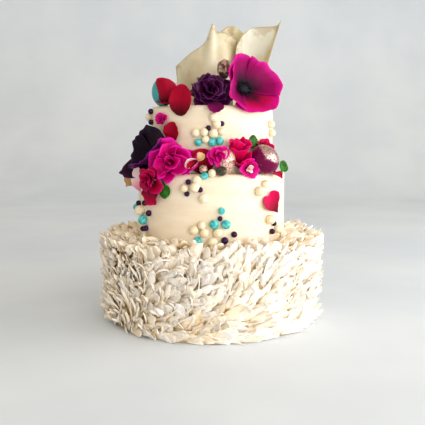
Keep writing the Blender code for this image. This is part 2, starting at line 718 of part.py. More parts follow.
# Leaves
settle(
    leaf(
        "leaf_low", green, facing(polar(-35.5, 0.0955, 0.1815), -32, 4, 184),
        length=0.0235, width=0.0165, fold=-0.0015, droop=0.001, stalk=0.3,
    ),
    leaf(
        "leaf_ledge", green, facing(polar(39.0, 0.0795, 0.2160), 32, 4, -4),
        length=0.0155, width=0.0135, fold=-0.0012, droop=0.001,
    ),
    leaf(
        "leaf_right", green, facing(polar(71.0, 0.0905, 0.1845), 40, 25, -42),
        length=0.0215, width=0.0140, fold=0.0012, droop=0.001, stalk=0.2,
    ),
)

for piece in placed:
    piece.data.shade_smooth()
    piece.data.set_sharp_from_angle(angle=math.radians(SMOOTH_ANGLE))
bpy.data.collections.remove(helpers)
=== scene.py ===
"""A tiered wedding cake with flowers, pearls and white chocolate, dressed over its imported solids."""

import math

import bpy
import numpy as np
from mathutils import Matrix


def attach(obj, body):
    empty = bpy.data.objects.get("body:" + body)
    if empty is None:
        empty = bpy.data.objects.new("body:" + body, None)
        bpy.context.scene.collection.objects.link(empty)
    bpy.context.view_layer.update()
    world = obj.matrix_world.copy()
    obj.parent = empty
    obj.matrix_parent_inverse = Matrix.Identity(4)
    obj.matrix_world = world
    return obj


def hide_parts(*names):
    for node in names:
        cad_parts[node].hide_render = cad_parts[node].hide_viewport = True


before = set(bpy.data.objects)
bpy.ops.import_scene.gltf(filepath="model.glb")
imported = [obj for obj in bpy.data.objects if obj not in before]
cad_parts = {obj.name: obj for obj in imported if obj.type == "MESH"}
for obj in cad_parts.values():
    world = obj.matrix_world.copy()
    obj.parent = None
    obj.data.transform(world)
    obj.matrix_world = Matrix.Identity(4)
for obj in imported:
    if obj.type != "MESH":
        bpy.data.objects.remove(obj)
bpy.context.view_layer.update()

# The studio. A pale floor runs back into a low curved wall. Three soft lamps stand at the front right,
# the right side and the front, and the camera is a little above the cake, as in the photograph.

STAGE_HALF = 3.0
STAGE_BACK = 1.4
STAGE_CURVE = 0.7
ROOM_TINT = (1.0, 0.89, 0.73, 1.0)
ROOM_STRENGTH = 0.68
CAMERA_PLACE = (0.001485, -0.8363, 0.23498)
CAMERA_TILT = 83.0
LENS_LENGTH = 55.69
SENSOR_WIDTH = 36.0


def strip_faces(rows, columns, closed=False):
    """Corner numbers of the quads of a grid, row by row; a closed grid joins its last column to its first."""
    row, column = np.meshgrid(np.arange(rows - 1), np.arange(columns - (not closed)), indexing="ij")
    after = (column + 1) % columns
    low, high = row * columns, (row + 1) * columns
    return np.stack([low + column, low + after, high + after, high + column], -1).reshape(-1, 4)


def new_mesh(name, points, faces, finish, uv=None, tone=None, smooth=True):
    """A mesh object at the origin from an array of points and a list of arrays of corner numbers."""
    points = np.asarray(points, float).reshape(-1, 3)
    sizes = np.concatenate([np.full(len(some), some.shape[1]) for some in faces])
    corners = np.concatenate([some.ravel() for some in faces])
    mesh = bpy.data.meshes.new(name)
    mesh.vertices.add(len(points))
    mesh.vertices.foreach_set("co", points.ravel())
    mesh.loops.add(len(corners))
    mesh.loops.foreach_set("vertex_index", corners)
    mesh.polygons.add(len(sizes))
    mesh.polygons.foreach_set("loop_start", np.concatenate([[0], np.cumsum(sizes)[:-1]]))
    mesh.update(calc_edges=True)
    mesh.polygons.foreach_set("use_smooth", np.full(len(sizes), smooth))
    if uv is not None:
        spread = np.asarray(uv).reshape(-1, 2)[corners].ravel()
        mesh.uv_layers.new(name="UVMap").data.foreach_set("uv", spread)
    if tone is not None:
        mesh.attributes.new("tone", "FLOAT", "POINT").data.foreach_set("value", np.asarray(tone).ravel())
    mesh.materials.append(finish)
    made = bpy.data.objects.new(name, mesh)
    bpy.context.scene.collection.objects.link(made)
    return made


class Tone:
    """A socket of a material, worked on in Python: an expression on tones adds its Math nodes."""

    def __init__(self, tree, socket=None):
        self.tree, self.socket = tree, socket
        self.shader = tree.nodes["Principled BSDF"].inputs

    def node(self, kind, settings=None, sockets=None, out=0):
        """Any other node: its type, its settings, set first, and the values or links of its sockets."""
        made = self.tree.nodes.new("ShaderNode" + kind)
        for key, value in (settings or {}).items():
            setattr(made, key, value)
        for key, value in (sockets or {}).items():
            self.put(made.inputs[key], value)
        return Tone(self.tree, made.outputs[out])

    def put(self, socket, value):
        """Links a tone to a socket, or sets a plain value on it."""
        if isinstance(value, Tone):
            self.tree.links.new(value.socket, socket)
        elif socket.type == "RGBA" and len(value) == 3:
            socket.default_value = (*value, 1.0)
        else:
            socket.default_value = value

    def math(self, operation, first, second):
        return self.node("Math", {"operation": operation}, {0: first, 1: second})

    def __add__(self, other):
        return self.math("ADD", self, other)

    def __sub__(self, other):
        return self.math("SUBTRACT", self, other)

    def __rsub__(self, other):
        return self.math("SUBTRACT", other, self)

    def __mul__(self, other):
        return self.math("MULTIPLY", self, other)

    __radd__, __rmul__ = __add__, __mul__

    def most(self, other):
        """The greater of two tones."""
        return self.math("MAXIMUM", self, other)

    def off(self, middle):
        """How far this tone is from a middle value, to either side."""
        return self.math("ABSOLUTE", self - middle, 0.0)

    def step(self, low, high):
        """A smooth step from 0 at low to 1 at high."""
        kind = {"interpolation_type": "SMOOTHSTEP"}
        return self.node("MapRange", kind, {"Value": self, "From Min": low, "From Max": high})

    def mix(self, first, second):
        """The first colour where this tone is 0, the second where it is 1."""
        return self.node("Mix", {"data_type": "RGBA"}, {0: self, 6: first, 7: second}, 2)

    def place(self):
        """The point's own place in the cake, in metres."""
        return self.node("TexCoord", None, None, 3)

    def own_tone(self):
        """The number that each petal, flake or sail carries in its mesh, from 0 to 1."""
        return self.node("Attribute", {"attribute_name": "tone"}, None, 2)

    def noise(self, scale, detail=3.0, roughness=0.55, place=None):
        """Cloudy noise about one half, read at the point's own place or at another one."""
        return self.node("TexNoise", None, {"Vector": place or self.place(), "Scale": scale,
                                            "Detail": detail, "Roughness": roughness})

    def vector(self, operation, other, out=0):
        """A sum on vectors: this one with another one."""
        return self.node("VectorMath", {"operation": operation}, {0: self, 1: other}, out)

    def part(self, axis):
        """One number of a vector: 0, 1 or 2."""
        return self.node("SeparateXYZ", None, {0: self}, axis)

    def bump(self, distance, strength=1.0):
        """A normal that stands up where this tone is high, by so many metres."""
        return self.node("Bump", None, {"Height": self, "Distance": distance, "Strength": strength})

    def paint(self, base, roughness=None, normal=None, metallic=None):
        """Links tones to the sockets of the shader that change over the surface."""
        sockets = {"Base Color": base, "Roughness": roughness, "Normal": normal, "Metallic": metallic}
        for key, value in sockets.items():
            if value is not None:
                self.put(self.shader[key], value)


def colour(code):
    """The linear parts of a colour written as six hex digits."""
    parts = np.array([int(code[k:k + 2], 16) for k in (0, 2, 4)]) / 255
    return tuple(float(p) for p in np.where(parts < 0.0405, parts / 12.92, ((parts + 0.055) / 1.055) ** 2.4))


def finish(name, fixed):
    """A new material and a tone to build on; the fixed values go straight onto its shader's sockets."""
    material = bpy.data.materials.new(name)
    material.use_nodes = True
    start = Tone(material.node_tree)
    for key, value in fixed.items():
        start.put(start.shader[key], value)
    return material, start


paper, mixer = finish("pale_paper", {"Roughness": 0.85, "Specular IOR Level": 0.2})
mixer.paint(mixer.noise(3.0).step(0.3, 0.7).mix(colour("dce5f0"), colour("e6eef7")))

turn = np.linspace(0, np.pi / 2, 17)
curve = np.stack([STAGE_BACK + STAGE_CURVE * np.sin(turn), STAGE_CURVE * (1 - np.cos(turn))], -1)
run = np.concatenate([[[-STAGE_HALF, 0.0]], curve, [[STAGE_BACK + STAGE_CURVE, STAGE_HALF]]])
across = np.array([-STAGE_HALF, STAGE_HALF])
stage_points = np.stack(np.broadcast_arrays(across[None, :], run[:, :1], run[:, 1:]), -1)
floor = new_mesh("floor", stage_points, [strip_faces(len(run), 2)], paper)


def lamp(name, place, aim, size, power, tint):
    """A square soft lamp that looks from its place at the point it aims at."""
    light = bpy.data.lights.new(name, "AREA")
    light.size, light.energy, light.color = size, power, tint
    made = bpy.data.objects.new(name, light)
    way = np.array(aim) - np.array(place)
    flat = math.hypot(way[0], way[1])
    made.rotation_euler = (math.atan2(flat, -way[2]), 0.0, math.atan2(-way[0], way[1]))
    made.location = place
    bpy.context.scene.collection.objects.link(made)


lamp("soft_right", (1.15, -1.30, 0.36), (0.0, 0.0, 0.10), 1.8, 17.0, (1.0, 0.99, 0.98))
lamp("soft_side", (1.45, -0.25, 0.34), (0.0, 0.0, 0.15), 1.3, 19.0, (1.0, 1.0, 1.0))
lamp("soft_front", (0.75, -1.90, 0.20), (0.0, 0.0, 0.12), 0.8, 13.0, (1.0, 0.97, 0.92))
world = bpy.context.scene.world or bpy.data.worlds.new("room")
bpy.context.scene.world = world
world.use_nodes = True
background = world.node_tree.nodes["Background"].inputs
background["Color"].default_value = ROOM_TINT
background["Strength"].default_value = ROOM_STRENGTH
bpy.context.scene.view_settings.view_transform = "Standard"

lens = bpy.data.cameras.new("front_view")
lens.lens, lens.sensor_width = LENS_LENGTH, SENSOR_WIDTH
camera = bpy.data.objects.new("front_view", lens)
camera.location = CAMERA_PLACE
camera.rotation_euler = (math.radians(CAMERA_TILT), 0.0, 0.0)
bpy.context.scene.collection.objects.link(camera)
bpy.context.scene.camera = camera

# The two upper tiers. Sponge under ivory buttercream, spread with a palette knife, so the wall is a
# touch uneven and the upper edge is softly rounded. Sugar pearls in ivory, teal and near black are
# pressed into the soft icing.

TIERS = {"middle_tier": (0.0924, 0.0990, 0.1870), "top_tier": (0.0764, 0.1870, 0.2655)}
TIER_STEPS = 160
ICING_ROUND = 0.006
PEARL_SINK = 0.18
PEARLS = {
    "top_tier": {
        "ivory": [(2.1, 0.2515, 0.0100), (4.5, 0.2440, 0.0100), (8.7, 0.2350, 0.0088), (1.9, 0.2330, 0.0105),
                  (-5.8, 0.2345, 0.0095), (-12.9, 0.2336, 0.0098), (-4.6, 0.2262, 0.0090),
                  (-74.0, 0.2528, 0.0095), (66.0, 0.2440, 0.0095), (68.0, 0.2335, 0.0095),
                  (158.0, 0.2380, 0.0100)],
        "dark": [(9.0, 0.2442, 0.0062), (-2.3, 0.2393, 0.0062), (-69.0, 0.2595, 0.0070),
                 (-68.5, 0.2465, 0.0070)],
        "teal": [(-10.8, 0.2228, 0.0088), (1.0, 0.2230, 0.0098), (7.2, 0.2245, 0.0096),
                 (164.5, 0.2290, 0.0096)],
    },
    "middle_tier": {
        "ivory": [(-11.2, 0.1725, 0.0115), (-18.8, 0.1712, 0.0095), (-5.2, 0.1599, 0.0108),
                  (-9.6, 0.1808, 0.0108), (-11.8, 0.1232, 0.0108), (-6.4, 0.1290, 0.0095),
                  (-4.6, 0.1206, 0.0105), (4.6, 0.1205, 0.0112), (1.0, 0.1092, 0.0120),
                  (-64.5, 0.1400, 0.0128), (35.9, 0.1664, 0.0118), (41.6, 0.1745, 0.0092),
                  (47.0, 0.1320, 0.0118), (57.0, 0.1185, 0.0100), (132.0, 0.1500, 0.0108),
                  (212.0, 0.1480, 0.0108)],
        "dark": [(-16.1, 0.1784, 0.0064), (-7.6, 0.1696, 0.0064), (-17.1, 0.1647, 0.0064),
                 (6.2, 0.1367, 0.0060), (16.2, 0.1180, 0.0072), (9.4, 0.1112, 0.0086),
                 (-71.0, 0.1478, 0.0070), (-57.9, 0.1500, 0.0070), (-52.0, 0.1386, 0.0076),
                 (-56.6, 0.1196, 0.0070), (-61.8, 0.1180, 0.0066), (52.6, 0.1262, 0.0066),
                 (50.2, 0.1170, 0.0070), (133.0, 0.1350, 0.0070), (219.0, 0.1400, 0.0070)],
        "teal": [(7.3, 0.1456, 0.0082), (2.0, 0.1302, 0.0108), (10.2, 0.1300, 0.0108),
                 (-9.2, 0.1116, 0.0088), (-80.0, 0.1412, 0.0088), (-59.5, 0.1294, 0.0116),
                 (139.0, 0.1420, 0.0108), (209.0, 0.1380, 0.0112)],
    },
}
EDGE_PEARLS = {"teal": (-4.5, 0.0955, 0.1855, 0.0086), "ivory": (0.6, 0.0940, 0.1885, 0.0095)}


def turned(profile, steps, swell=None):
    """A closed turned form: each profile point (radius, height) is carried round the upright axis, and
    swell(angle, height) is added to its radius. The first and last points are the poles."""
    profile = np.asarray(profile, float)
    angle = np.linspace(0, 2 * np.pi, steps, endpoint=False)[None, :]
    radius, height = profile[1:-1, :1], profile[1:-1, 1:]
    if swell is not None:
        radius = radius + swell(angle, height) * (radius > 0.8 * radius.max())
    rings = np.stack(np.broadcast_arrays(radius * np.cos(angle), radius * np.sin(angle), height), -1)
    count = len(profile) - 2
    poles = [[0, 0, profile[0, 1]], [0, 0, profile[-1, 1]]]
    points = np.concatenate([rings.reshape(-1, 3), poles])
    here = np.arange(steps)
    after = (here + 1) % steps
    last = (count - 1) * steps
    foot = np.stack([np.full(steps, count * steps), after, here], -1)
    tip = np.stack([np.full(steps, count * steps + 1), last + here, last + after], -1)
    return points, [strip_faces(count, steps, True), np.concatenate([foot, tip])]


def gathered(parts):
    """Several meshes as one: their points end to end, each one's corner numbers counted on from there."""
    shifts = np.cumsum([0] + [len(points) for points, _ in parts])
    points = np.concatenate([points for points, _ in parts])
    kinds = max(len(faces) for _, faces in parts)
    return points, [np.concatenate([faces[k] + shift for (_, faces), shift in zip(parts, shifts)
                                    if k < len(faces)]) for k in range(kinds)]


def dress(made, slot, *nodes):
    """Fixes a piece to the cake in the place of its solids, which are hidden; the slot is not used."""
    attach(made, "root")
    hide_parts(*nodes)
    return made


def knife_marks(angle, height):
    """How far the icing stands out: four slow waves round and up the wall, under half a millimetre."""
    waves = [(2, 31, 0.4, 0.00022), (3, 54, 2.1, 0.00016), (5, 23, 4.0, 0.00014), (9, 80, 1.2, 0.00006)]
    return sum(size * np.sin(turns * angle + rate * height + start) for turns, rate, start, size in waves)


def tier_profile(radius, foot, top, rounding):
    """From the middle of the underside out to the wall, up it, round its upper edge and in to the middle."""
    turn = np.linspace(0, np.pi / 2, 9)
    wall = np.linspace(foot, top - rounding, 32)
    inward = radius - rounding
    edge = np.stack([inward + rounding * np.cos(turn), top - rounding + rounding * np.sin(turn)], -1)
    side = np.stack([np.full(len(wall), radius), wall], -1)
    lid = np.stack([np.linspace(inward, 0, 9)[1:], np.full(8, top)], -1)
    return np.concatenate([[[0, foot], [radius * 0.6, foot]], side, edge[1:], lid])


def wall_point(azimuth, radius, height):
    """A point at an azimuth in degrees, counted from the front towards +X."""
    angle = math.radians(azimuth)
    return np.array([radius * math.sin(angle), -radius * math.cos(angle), height])


def ball(radii, columns=16, rows=11):
    """A ball turned from a half circle, drawn out to its half lengths along x, y and z."""
    turn = np.linspace(-np.pi / 2, np.pi / 2, rows)
    points, faces = turned(np.stack([np.cos(turn), np.sin(turn)], -1), columns)
    return points * np.asarray(radii), faces


icing, mixer = finish("ivory_buttercream", {"Subsurface Weight": 0.3, "Subsurface Scale": 0.004,
                                            "Subsurface Radius": (1.0, 0.75, 0.5),
                                            "Specular IOR Level": 0.3})
strokes = mixer.noise(28.0, 4.0, place=mixer.place().vector("MULTIPLY", (1.0, 1.0, 3.5)))
grain = mixer.noise(420.0, 2.0)
mixer.paint(strokes.step(0.3, 0.7).mix(colour("efdfc6"), colour("f5e9d6")), strokes * 0.2 + 0.42,
            (strokes * 0.3 + grain * 0.04).bump(0.0012, 0.4))


def pearl_finish(name, deep, light, roughness):
    """A polished sugar pearl: its colour drifts a little over each bead, under a thin clear glaze."""
    made, mixer = finish(name, {"Coat Weight": 0.1, "Coat Roughness": 0.15, "Roughness": roughness,
                                "Specular IOR Level": 0.2})
    mixer.paint(mixer.noise(260.0, 2.0).step(0.35, 0.65).mix(colour(deep), colour(light)),
                normal=mixer.noise(900.0).bump(0.00012, 0.5))
    return made


pearl_finishes = {
    "ivory": pearl_finish("ivory_pearl", "eedcb8", "f8edd4", 0.32),
    "teal": pearl_finish("teal_pearl", "25a7ac", "6fd6d6", 0.3),
    "dark": pearl_finish("dark_pearl", "1a0424", "380a4c", 0.35),
}

for node, (radius, foot, top) in TIERS.items():
    points, faces = turned(tier_profile(radius, foot, top, ICING_ROUND), TIER_STEPS, knife_marks)
    dress(new_mesh(node + "_icing", points, faces, icing), "icing", node)
    for kind, spots in PEARLS[node].items():
        beads = [(azimuth, radius + size * (0.5 - PEARL_SINK), height, size)
                 for azimuth, height, size in spots]
        if node == "middle_tier" and kind in EDGE_PEARLS:
            beads.append(EDGE_PEARLS[kind])
        shapes = [(ball((size / 2,) * 3), wall_point(*spot)) for *spot, size in beads]
        points, faces = gathered([(points + place, faces) for (points, faces), place in shapes])
        dress(new_mesh(f"{node}_{kind}_pearls", points, faces, pearl_finishes[kind]), "icing", node)

# The bottom tier. Buttercream crowded with thin curled flakes of white chocolate, pressed in by hand row
# over row. They lie at all angles, most leaning to the upper right, and spread wider towards the top,
# where a last ring lies on the ledge round the middle tier.

BASE_RADIUS = 0.1235
BASE_HEIGHT = 0.0985
BASE_ROUND = 0.012
LEDGE_INNER = 0.0905
LEDGE_OUTER = 0.124
FLAKE_REACH = 0.1429
FLAKE_LOWEST = 0.0010
FLAKE_HIGHEST = 0.1155
FLAKE_THICKNESS = 0.0005
FLAKE_GRID = (6, 3)
GOLDEN_TURN = 137.508


def grid_normals(points):
    """At each grid point, the mean of the cross products of the diagonals of the quads round it."""
    across = points[..., 1:, 1:, :] - points[..., :-1, :-1, :]
    other = points[..., 1:, :-1, :] - points[..., :-1, 1:, :]
    quads = np.cross(across, other)
    total = np.zeros_like(points)
    for row in (slice(None, -1), slice(1, None)):
        for column in (slice(None, -1), slice(1, None)):
            total[..., row, column, :] += quads
    return total / np.maximum(np.linalg.norm(total, axis=-1, keepdims=True), 1e-12)


def thin_sheet(points, thickness, rim=0.35):
    """A closed thin sheet: the grid is pushed half the thickness along its normals to both sides, the
    thickness falls off towards the grid's rim, and a band of quads joins the two sides along it."""
    rows, columns = points.shape[-3:-1]
    v, u = np.meshgrid(np.linspace(-1, 1, rows), np.linspace(-1, 1, columns), indexing="ij")
    edge = np.maximum(abs(u), abs(v)) ** 4
    half = (thickness / 2 * (1 - (1 - rim) * edge))[..., None] * grid_normals(points)
    both = np.stack([points + half, points - half], -4)
    both = both.reshape(*points.shape[:-3], 2 * rows * columns, 3)
    face = strip_faces(rows, columns)
    number = np.arange(rows * columns).reshape(rows, columns)
    loop = np.concatenate([number[0, :-1], number[:-1, -1], number[-1, :0:-1], number[:0:-1, 0]])
    after, back = np.roll(loop, -1), rows * columns
    band = np.stack([loop, loop + back, after + back, after], -1)
    return both, np.concatenate([face, face[:, ::-1] + back, band])


def repeated(points, faces):
    """Many copies of one mesh as one: points are an array of copies, faces serve each of them in turn."""
    shifts = np.arange(len(points)) * points.shape[1]
    return points.reshape(-1, 3), [(faces[None] + shifts[:, None, None]).reshape(-1, faces.shape[1])]


def flake_points(rng, spot, pose, size, form):
    """Many flakes at once. Each is a long oval, half as wide as a power of a sine of its way along, bent
    along an arc and cupped across. It is spun about its own length, turned in the wall by its roll, leans
    out from the wall, and is moved to its spot: azimuth, radius and height."""
    (azimuth, radius, height), (lean, roll, spin) = spot, pose
    (length, width), (bend, cup) = size, form
    rows, columns = FLAKE_GRID
    v = np.linspace(0, 1, rows)[None, :, None]
    u = np.linspace(-1, 1, columns)[None, None, :]
    count = len(azimuth)
    each = lambda values: np.asarray(values)[:, None, None]
    narrow = each(rng.uniform(0.10, 0.26, count))
    half = each(width) / 2 * np.sin(np.pi * (narrow + (0.93 - narrow) * v)) ** 0.6
    bend = each(np.where(abs(bend) < 0.05, 0.05, bend))
    along = each(length) * np.sin(bend * v) / bend
    rise = each(length) * (1 - np.cos(bend * v)) / bend + each(cup) * u ** 2 * half
    rise = rise + each(rng.normal(0.0, 0.25, count)) * u * half * v
    rise = rise + rng.normal(0, 0.0003, (count, rows, columns))
    x = u * half * (1 + rng.normal(0, 0.09, (count, rows, columns)))
    x = x + each(rng.normal(0, 0.08, count) * length) * v ** 2
    a = np.radians(azimuth)
    out = np.stack([np.sin(a), -np.cos(a), 0 * a], -1)
    side = np.stack([np.cos(a), np.sin(a), 0 * a], -1)
    upright = np.array([0.0, 0.0, 1.0])
    sin, cos = (lambda t: np.sin(np.radians(t))[:, None]), (lambda t: np.cos(np.radians(t))[:, None])
    way = cos(roll) * upright + sin(roll) * side
    y_axis = cos(lean) * way + sin(lean) * out
    flat_z = cos(lean) * out - sin(lean) * way
    flat_x = np.cross(y_axis, flat_z)
    x_axis = cos(spin) * flat_x + sin(spin) * flat_z
    z_axis = cos(spin) * flat_z - sin(spin) * flat_x
    start = out * np.asarray(radius)[:, None] + upright * np.asarray(height)[:, None]
    x_axis, y_axis, z_axis, start = (part[:, None, None, :] for part in (x_axis, y_axis, z_axis, start))
    return start + x[..., None] * x_axis + along[..., None] * y_axis + rise[..., None] * z_axis


def wall_spots(rng, count):
    """Even random spots up the wall, and the share of the wall's height that each has reached."""
    share = (np.arange(count) + rng.uniform(0, 1, count)) / count
    azimuth = (np.arange(count) * GOLDEN_TURN + rng.uniform(-4, 4, count)) % 360
    return azimuth, share, 0.0030 + 0.0900 * share


def wall_roll(rng, azimuth, share, middle, spread, level_spread):
    """How far each flake is turned in the wall, in degrees: near level at the foot, and above it a common
    lean to the right that swings about as one goes round and up."""
    a = np.radians(azimuth)
    swing = 24 * np.sin(3 * a + 5 * share) + 18 * np.sin(7 * a - 6 * share + 1.0)
    swing = swing + 10 * np.sin(13 * a + 9 * share)
    level = np.clip(1 - share * 4.5, 0, 1)
    roll = middle + swing + rng.normal(0, spread, len(share))
    return roll * (1 - level) + rng.normal(76, level_spread, len(share)) * level


def broad_flakes(rng):
    """Wide flakes that overlap like feathers, level at the foot of the wall and steeper above."""
    count = 1900
    azimuth, share, height = wall_spots(rng, count)
    radius = BASE_RADIUS - 0.0005 + rng.uniform(0, 0.0065, count) * (0.5 + 0.8 * share)
    lean = rng.normal(7 + 8 * share, 5)
    roll = wall_roll(rng, azimuth, share, 34, 15, 9)
    length = rng.uniform(0.018, 0.030, count)
    return flake_points(rng, (azimuth, radius, height), (lean, roll, rng.normal(0, 13, count)),
                        (length, length * rng.uniform(0.30, 0.48, count)),
                        (rng.normal(0.20, 0.36, count), rng.normal(0.06, 0.18, count)))


def curled_flakes(rng):
    """Narrow curls, many of them on edge, that show as thin bright lines between the wide flakes."""
    count = 620
    azimuth, share, height = wall_spots(rng, count)
    radius = BASE_RADIUS + 0.0030 + rng.uniform(0, 0.0070, count) * (0.5 + 0.8 * share)
    lean = rng.normal(11 + 8 * share, 9)
    roll = wall_roll(rng, azimuth, share, 36, 26, 10)
    length = rng.uniform(0.018, 0.032, count)
    return flake_points(rng, (azimuth, radius, height), (lean, roll, rng.normal(45, 25, count)),
                        (length, rng.uniform(0.0032, 0.0060, count)),
                        (rng.normal(0.7, 0.7, count), rng.normal(0.2, 0.4, count)))


def foot_flakes(rng):
    """Long flakes that lie level round the foot and hide the core down to the floor."""
    count = 260
    azimuth = (np.arange(count) * GOLDEN_TURN) % 360
    radius = BASE_RADIUS - 0.0010 + rng.uniform(0, 0.0050, count)
    return flake_points(rng, (azimuth, radius, rng.uniform(0.0030, 0.0100, count)),
                        (rng.normal(6, 4, count), rng.normal(84, 7, count), rng.normal(0, 10, count)),
                        (rng.uniform(0.020, 0.032, count), rng.uniform(0.0075, 0.0110, count)),
                        (rng.normal(0.1, 0.3, count), rng.normal(0.05, 0.15, count)))


def ledge_flakes(rng):
    """Flakes strewn on the ledge, from the middle tier's foot to the edge, tilted well outwards."""
    count = 700
    azimuth = rng.uniform(0, 360, count)
    radius = np.sqrt(rng.uniform(LEDGE_INNER ** 2, LEDGE_OUTER ** 2, count))
    height = BASE_HEIGHT + rng.uniform(-0.001, 0.003, count) + 0.004 * (radius < 0.104)
    length = rng.uniform(0.013, 0.023, count)
    return flake_points(rng, (azimuth, radius, height),
                        (rng.normal(62, 13, count), rng.normal(10, 50, count), rng.normal(8, 25, count)),
                        (length, length * rng.uniform(0.32, 0.62, count)),
                        (rng.normal(0.2, 0.7, count), rng.normal(0.10, 0.3, count)))


white_flake, mixer = finish("white_chocolate_flake", {"Specular IOR Level": 0.1})
place = mixer.place()
# Flakes nearer the axis are painted golden. On the core this is the yellow buttercream that shows between the
# flakes; on the deeper flakes it is painted recess shade. Flakes raised on the ledge are kept pale.
depth = place.vector("MULTIPLY", (1.0, 1.0, 0.0)).vector("LENGTH", (0.0, 0.0, 0.0), 1).step(0.1222, 0.1315)
raised = place.part(2).step(0.097, 0.104)
clouds = mixer.noise(90.0)
pale = (clouds * 0.5 + mixer.own_tone() * 0.5).step(0.25, 0.75).mix(colour("fff3e0"), colour("fffcf8"))
mixer.paint(depth.most(raised * 0.85).mix(colour("ffdf98"), pale), clouds * 0.25 + 0.42,
            mixer.noise(600.0).bump(0.0003, 0.4))

rng = np.random.default_rng(11)
for name, flakes in (("broad_flakes", broad_flakes(rng)), ("curled_flakes", curled_flakes(rng)),
                     ("foot_flakes", foot_flakes(rng)), ("ledge_flakes", ledge_flakes(rng))):
    reach = np.hypot(flakes[..., 0], flakes[..., 1])
    flakes[..., :2] *= np.minimum(1, FLAKE_REACH / reach)[..., None]
    flakes[..., 2] = np.clip(flakes[..., 2], FLAKE_LOWEST, FLAKE_HIGHEST)
    sheets, faces = thin_sheet(flakes, FLAKE_THICKNESS, 0.5)
    tints = np.repeat(rng.uniform(0, 1, len(sheets)), sheets.shape[1])
    points, faces = repeated(sheets, faces)
    dress(new_mesh(name, points, faces, white_flake, tone=tints), "flakes", "bottom_tier")

points, faces = turned(tier_profile(BASE_RADIUS, 0.0, BASE_HEIGHT, BASE_ROUND), TIER_STEPS, knife_marks)
dress(new_mesh("bottom_icing", points, faces, white_flake), "flakes", "bottom_tier")

# The sails. Three thin sheets of white chocolate, set while curved, with feathered edges, stand in the
# top tier's icing. Their cream is marbled with beige, with brown spots towards the top, and their rims
# are painted darker brown as shade.

SAILS = {
    "sail_left": (
        [(-0.040, 0.012), (-0.026, -0.012), (-0.004, -0.020), (0.016, -0.014), (0.027, 0.002)],
        [(-0.045, 0.016, 0.3175), (-0.026, -0.006, 0.3310), (-0.008, -0.0115, 0.3435),
         (0.0015, -0.0115, 0.3655), (0.007, -0.0108, 0.3570), (0.019, -0.0075, 0.3550),
         (0.0325, 0.004, 0.3480)], 0.008, 0.70),
    "sail_right": (
        [(0.026, -0.010), (0.034, 0.002), (0.044, 0.006), (0.054, 0.000)],
        [(0.0305, -0.010, 0.3390), (0.0380, -0.004, 0.3525), (0.0442, 0.002, 0.3592), (0.0529, 0.008, 0.3644),
         (0.0790, 0.009, 0.3662), (0.0846, 0.006, 0.3690), (0.0875, 0.004, 0.3733)], -0.004, 0.0),
    "sail_back": (
        [(-0.018, 0.022), (0.004, 0.030), (0.028, 0.028)],
        [(-0.010, 0.026, 0.3420), (0.014, 0.030, 0.3640), (0.026, 0.030, 0.3700), (0.037, 0.028, 0.3640),
         (0.050, 0.024, 0.3500)], -0.006, 1.0),
}
SAIL_FOOT = 0.2640
SAIL_THICKNESS = 0.0016
SAIL_GRID = (33, 41)


def smooth_line(knots, count):
    """A line through its knots: between two of them a cubic whose slope at each knot is half the step
    between the knots beside it."""
    knots = np.asarray(knots, float)
    padded = np.concatenate([2 * knots[:1] - knots[1:2], knots, 2 * knots[-1:] - knots[-2:-1]])
    way = np.linspace(0, len(knots) - 1, count)
    stretch = np.minimum(way.astype(int), len(knots) - 2)
    t = (way - stretch)[:, None]
    a, b, c, d = (padded[stretch + k] for k in range(4))
    return 0.5 * (2 * b + (c - a) * t + (2 * a - 5 * b + 4 * c - d) * t ** 2
                  + (3 * b - a - 3 * c + d) * t ** 3)


def sail_points(foot, top, belly, start):
    """A sheet drawn from its foot line to its top line, bellied out by a product of sines, with fine
    ripples that grow towards the top."""
    rows, columns = SAIL_GRID
    low = smooth_line([(x, y, SAIL_FOOT) for x, y in foot], columns)[None]
    high = smooth_line(top, columns)[None]
    up = np.linspace(0, 1, rows)[:, None]
    across = np.linspace(0, 1, columns)[None]
    points = low + (high - low) * up[..., None]
    points[..., 1] -= belly * np.sin(np.pi * up) * np.sin(np.pi * across)
    points[..., 1] += (0.0011 * up ** 2 * np.sin(9 * across + 5 * up + start)
                       + 0.0006 * up * np.sin(23 * across + start))
    uv = np.stack(np.broadcast_arrays(across, up), -1)
    return points, uv


cream, mixer = finish("marbled_white_chocolate", {"Subsurface Weight": 0.5, "Subsurface Scale": 0.004,
                                                  "Subsurface Radius": (1.0, 0.8, 0.45),
                                                  "Coat Weight": 0.15, "Coat Roughness": 0.3})
veins = mixer.noise(26.0, 4.0)
uv = mixer.node("UVMap")
side, up = uv.part(0).off(0.5) * 2.0, uv.part(1)
# Brown spots, only in the top part of each sheet.
spots = mixer.noise(70.0, 2.0).step(0.52, 0.66) * up.step(0.70, 1.0)
# The rims are painted darker brown: painted shade along the edges of the sheets.
edge = up.step(0.975, 0.995).most(side.step(0.965, 0.995))
marble = mixer.own_tone().mix(colour("cbcabb"), colour("e2d8bc"))
marble = (veins.step(0.42, 0.64) * 0.45).mix(marble, colour("b59f70"))
mixer.paint((spots * 0.45).most(edge * 0.4).mix(marble, colour("8c6a48")), veins * 0.3 + 0.35,
            (veins + mixer.noise(300.0) * 0.2).bump(0.0004, 0.5))

for number, (node, (foot, top, belly, tone)) in enumerate(SAILS.items()):
    grid, uv = sail_points(foot, top, belly, 1.7 * number)
    points, faces = thin_sheet(grid, SAIL_THICKNESS, 0.4)
    made = new_mesh(node.replace("sail", "white_sail"), points, [faces], cream, np.stack([uv, uv]),
                    np.full(len(points), tone))
    dress(made, "white_chocolate", node)

# The open flowers. Two anemones, each a deep uneven cup of broad overlapping petals round a dark knob and
# a ring of stamens. The petals are fresh and thin, with fine veins that fan from the foot. A rim is given
# by its angle, reach and rise, a petal by its finish, angle, spread, tone and lift.

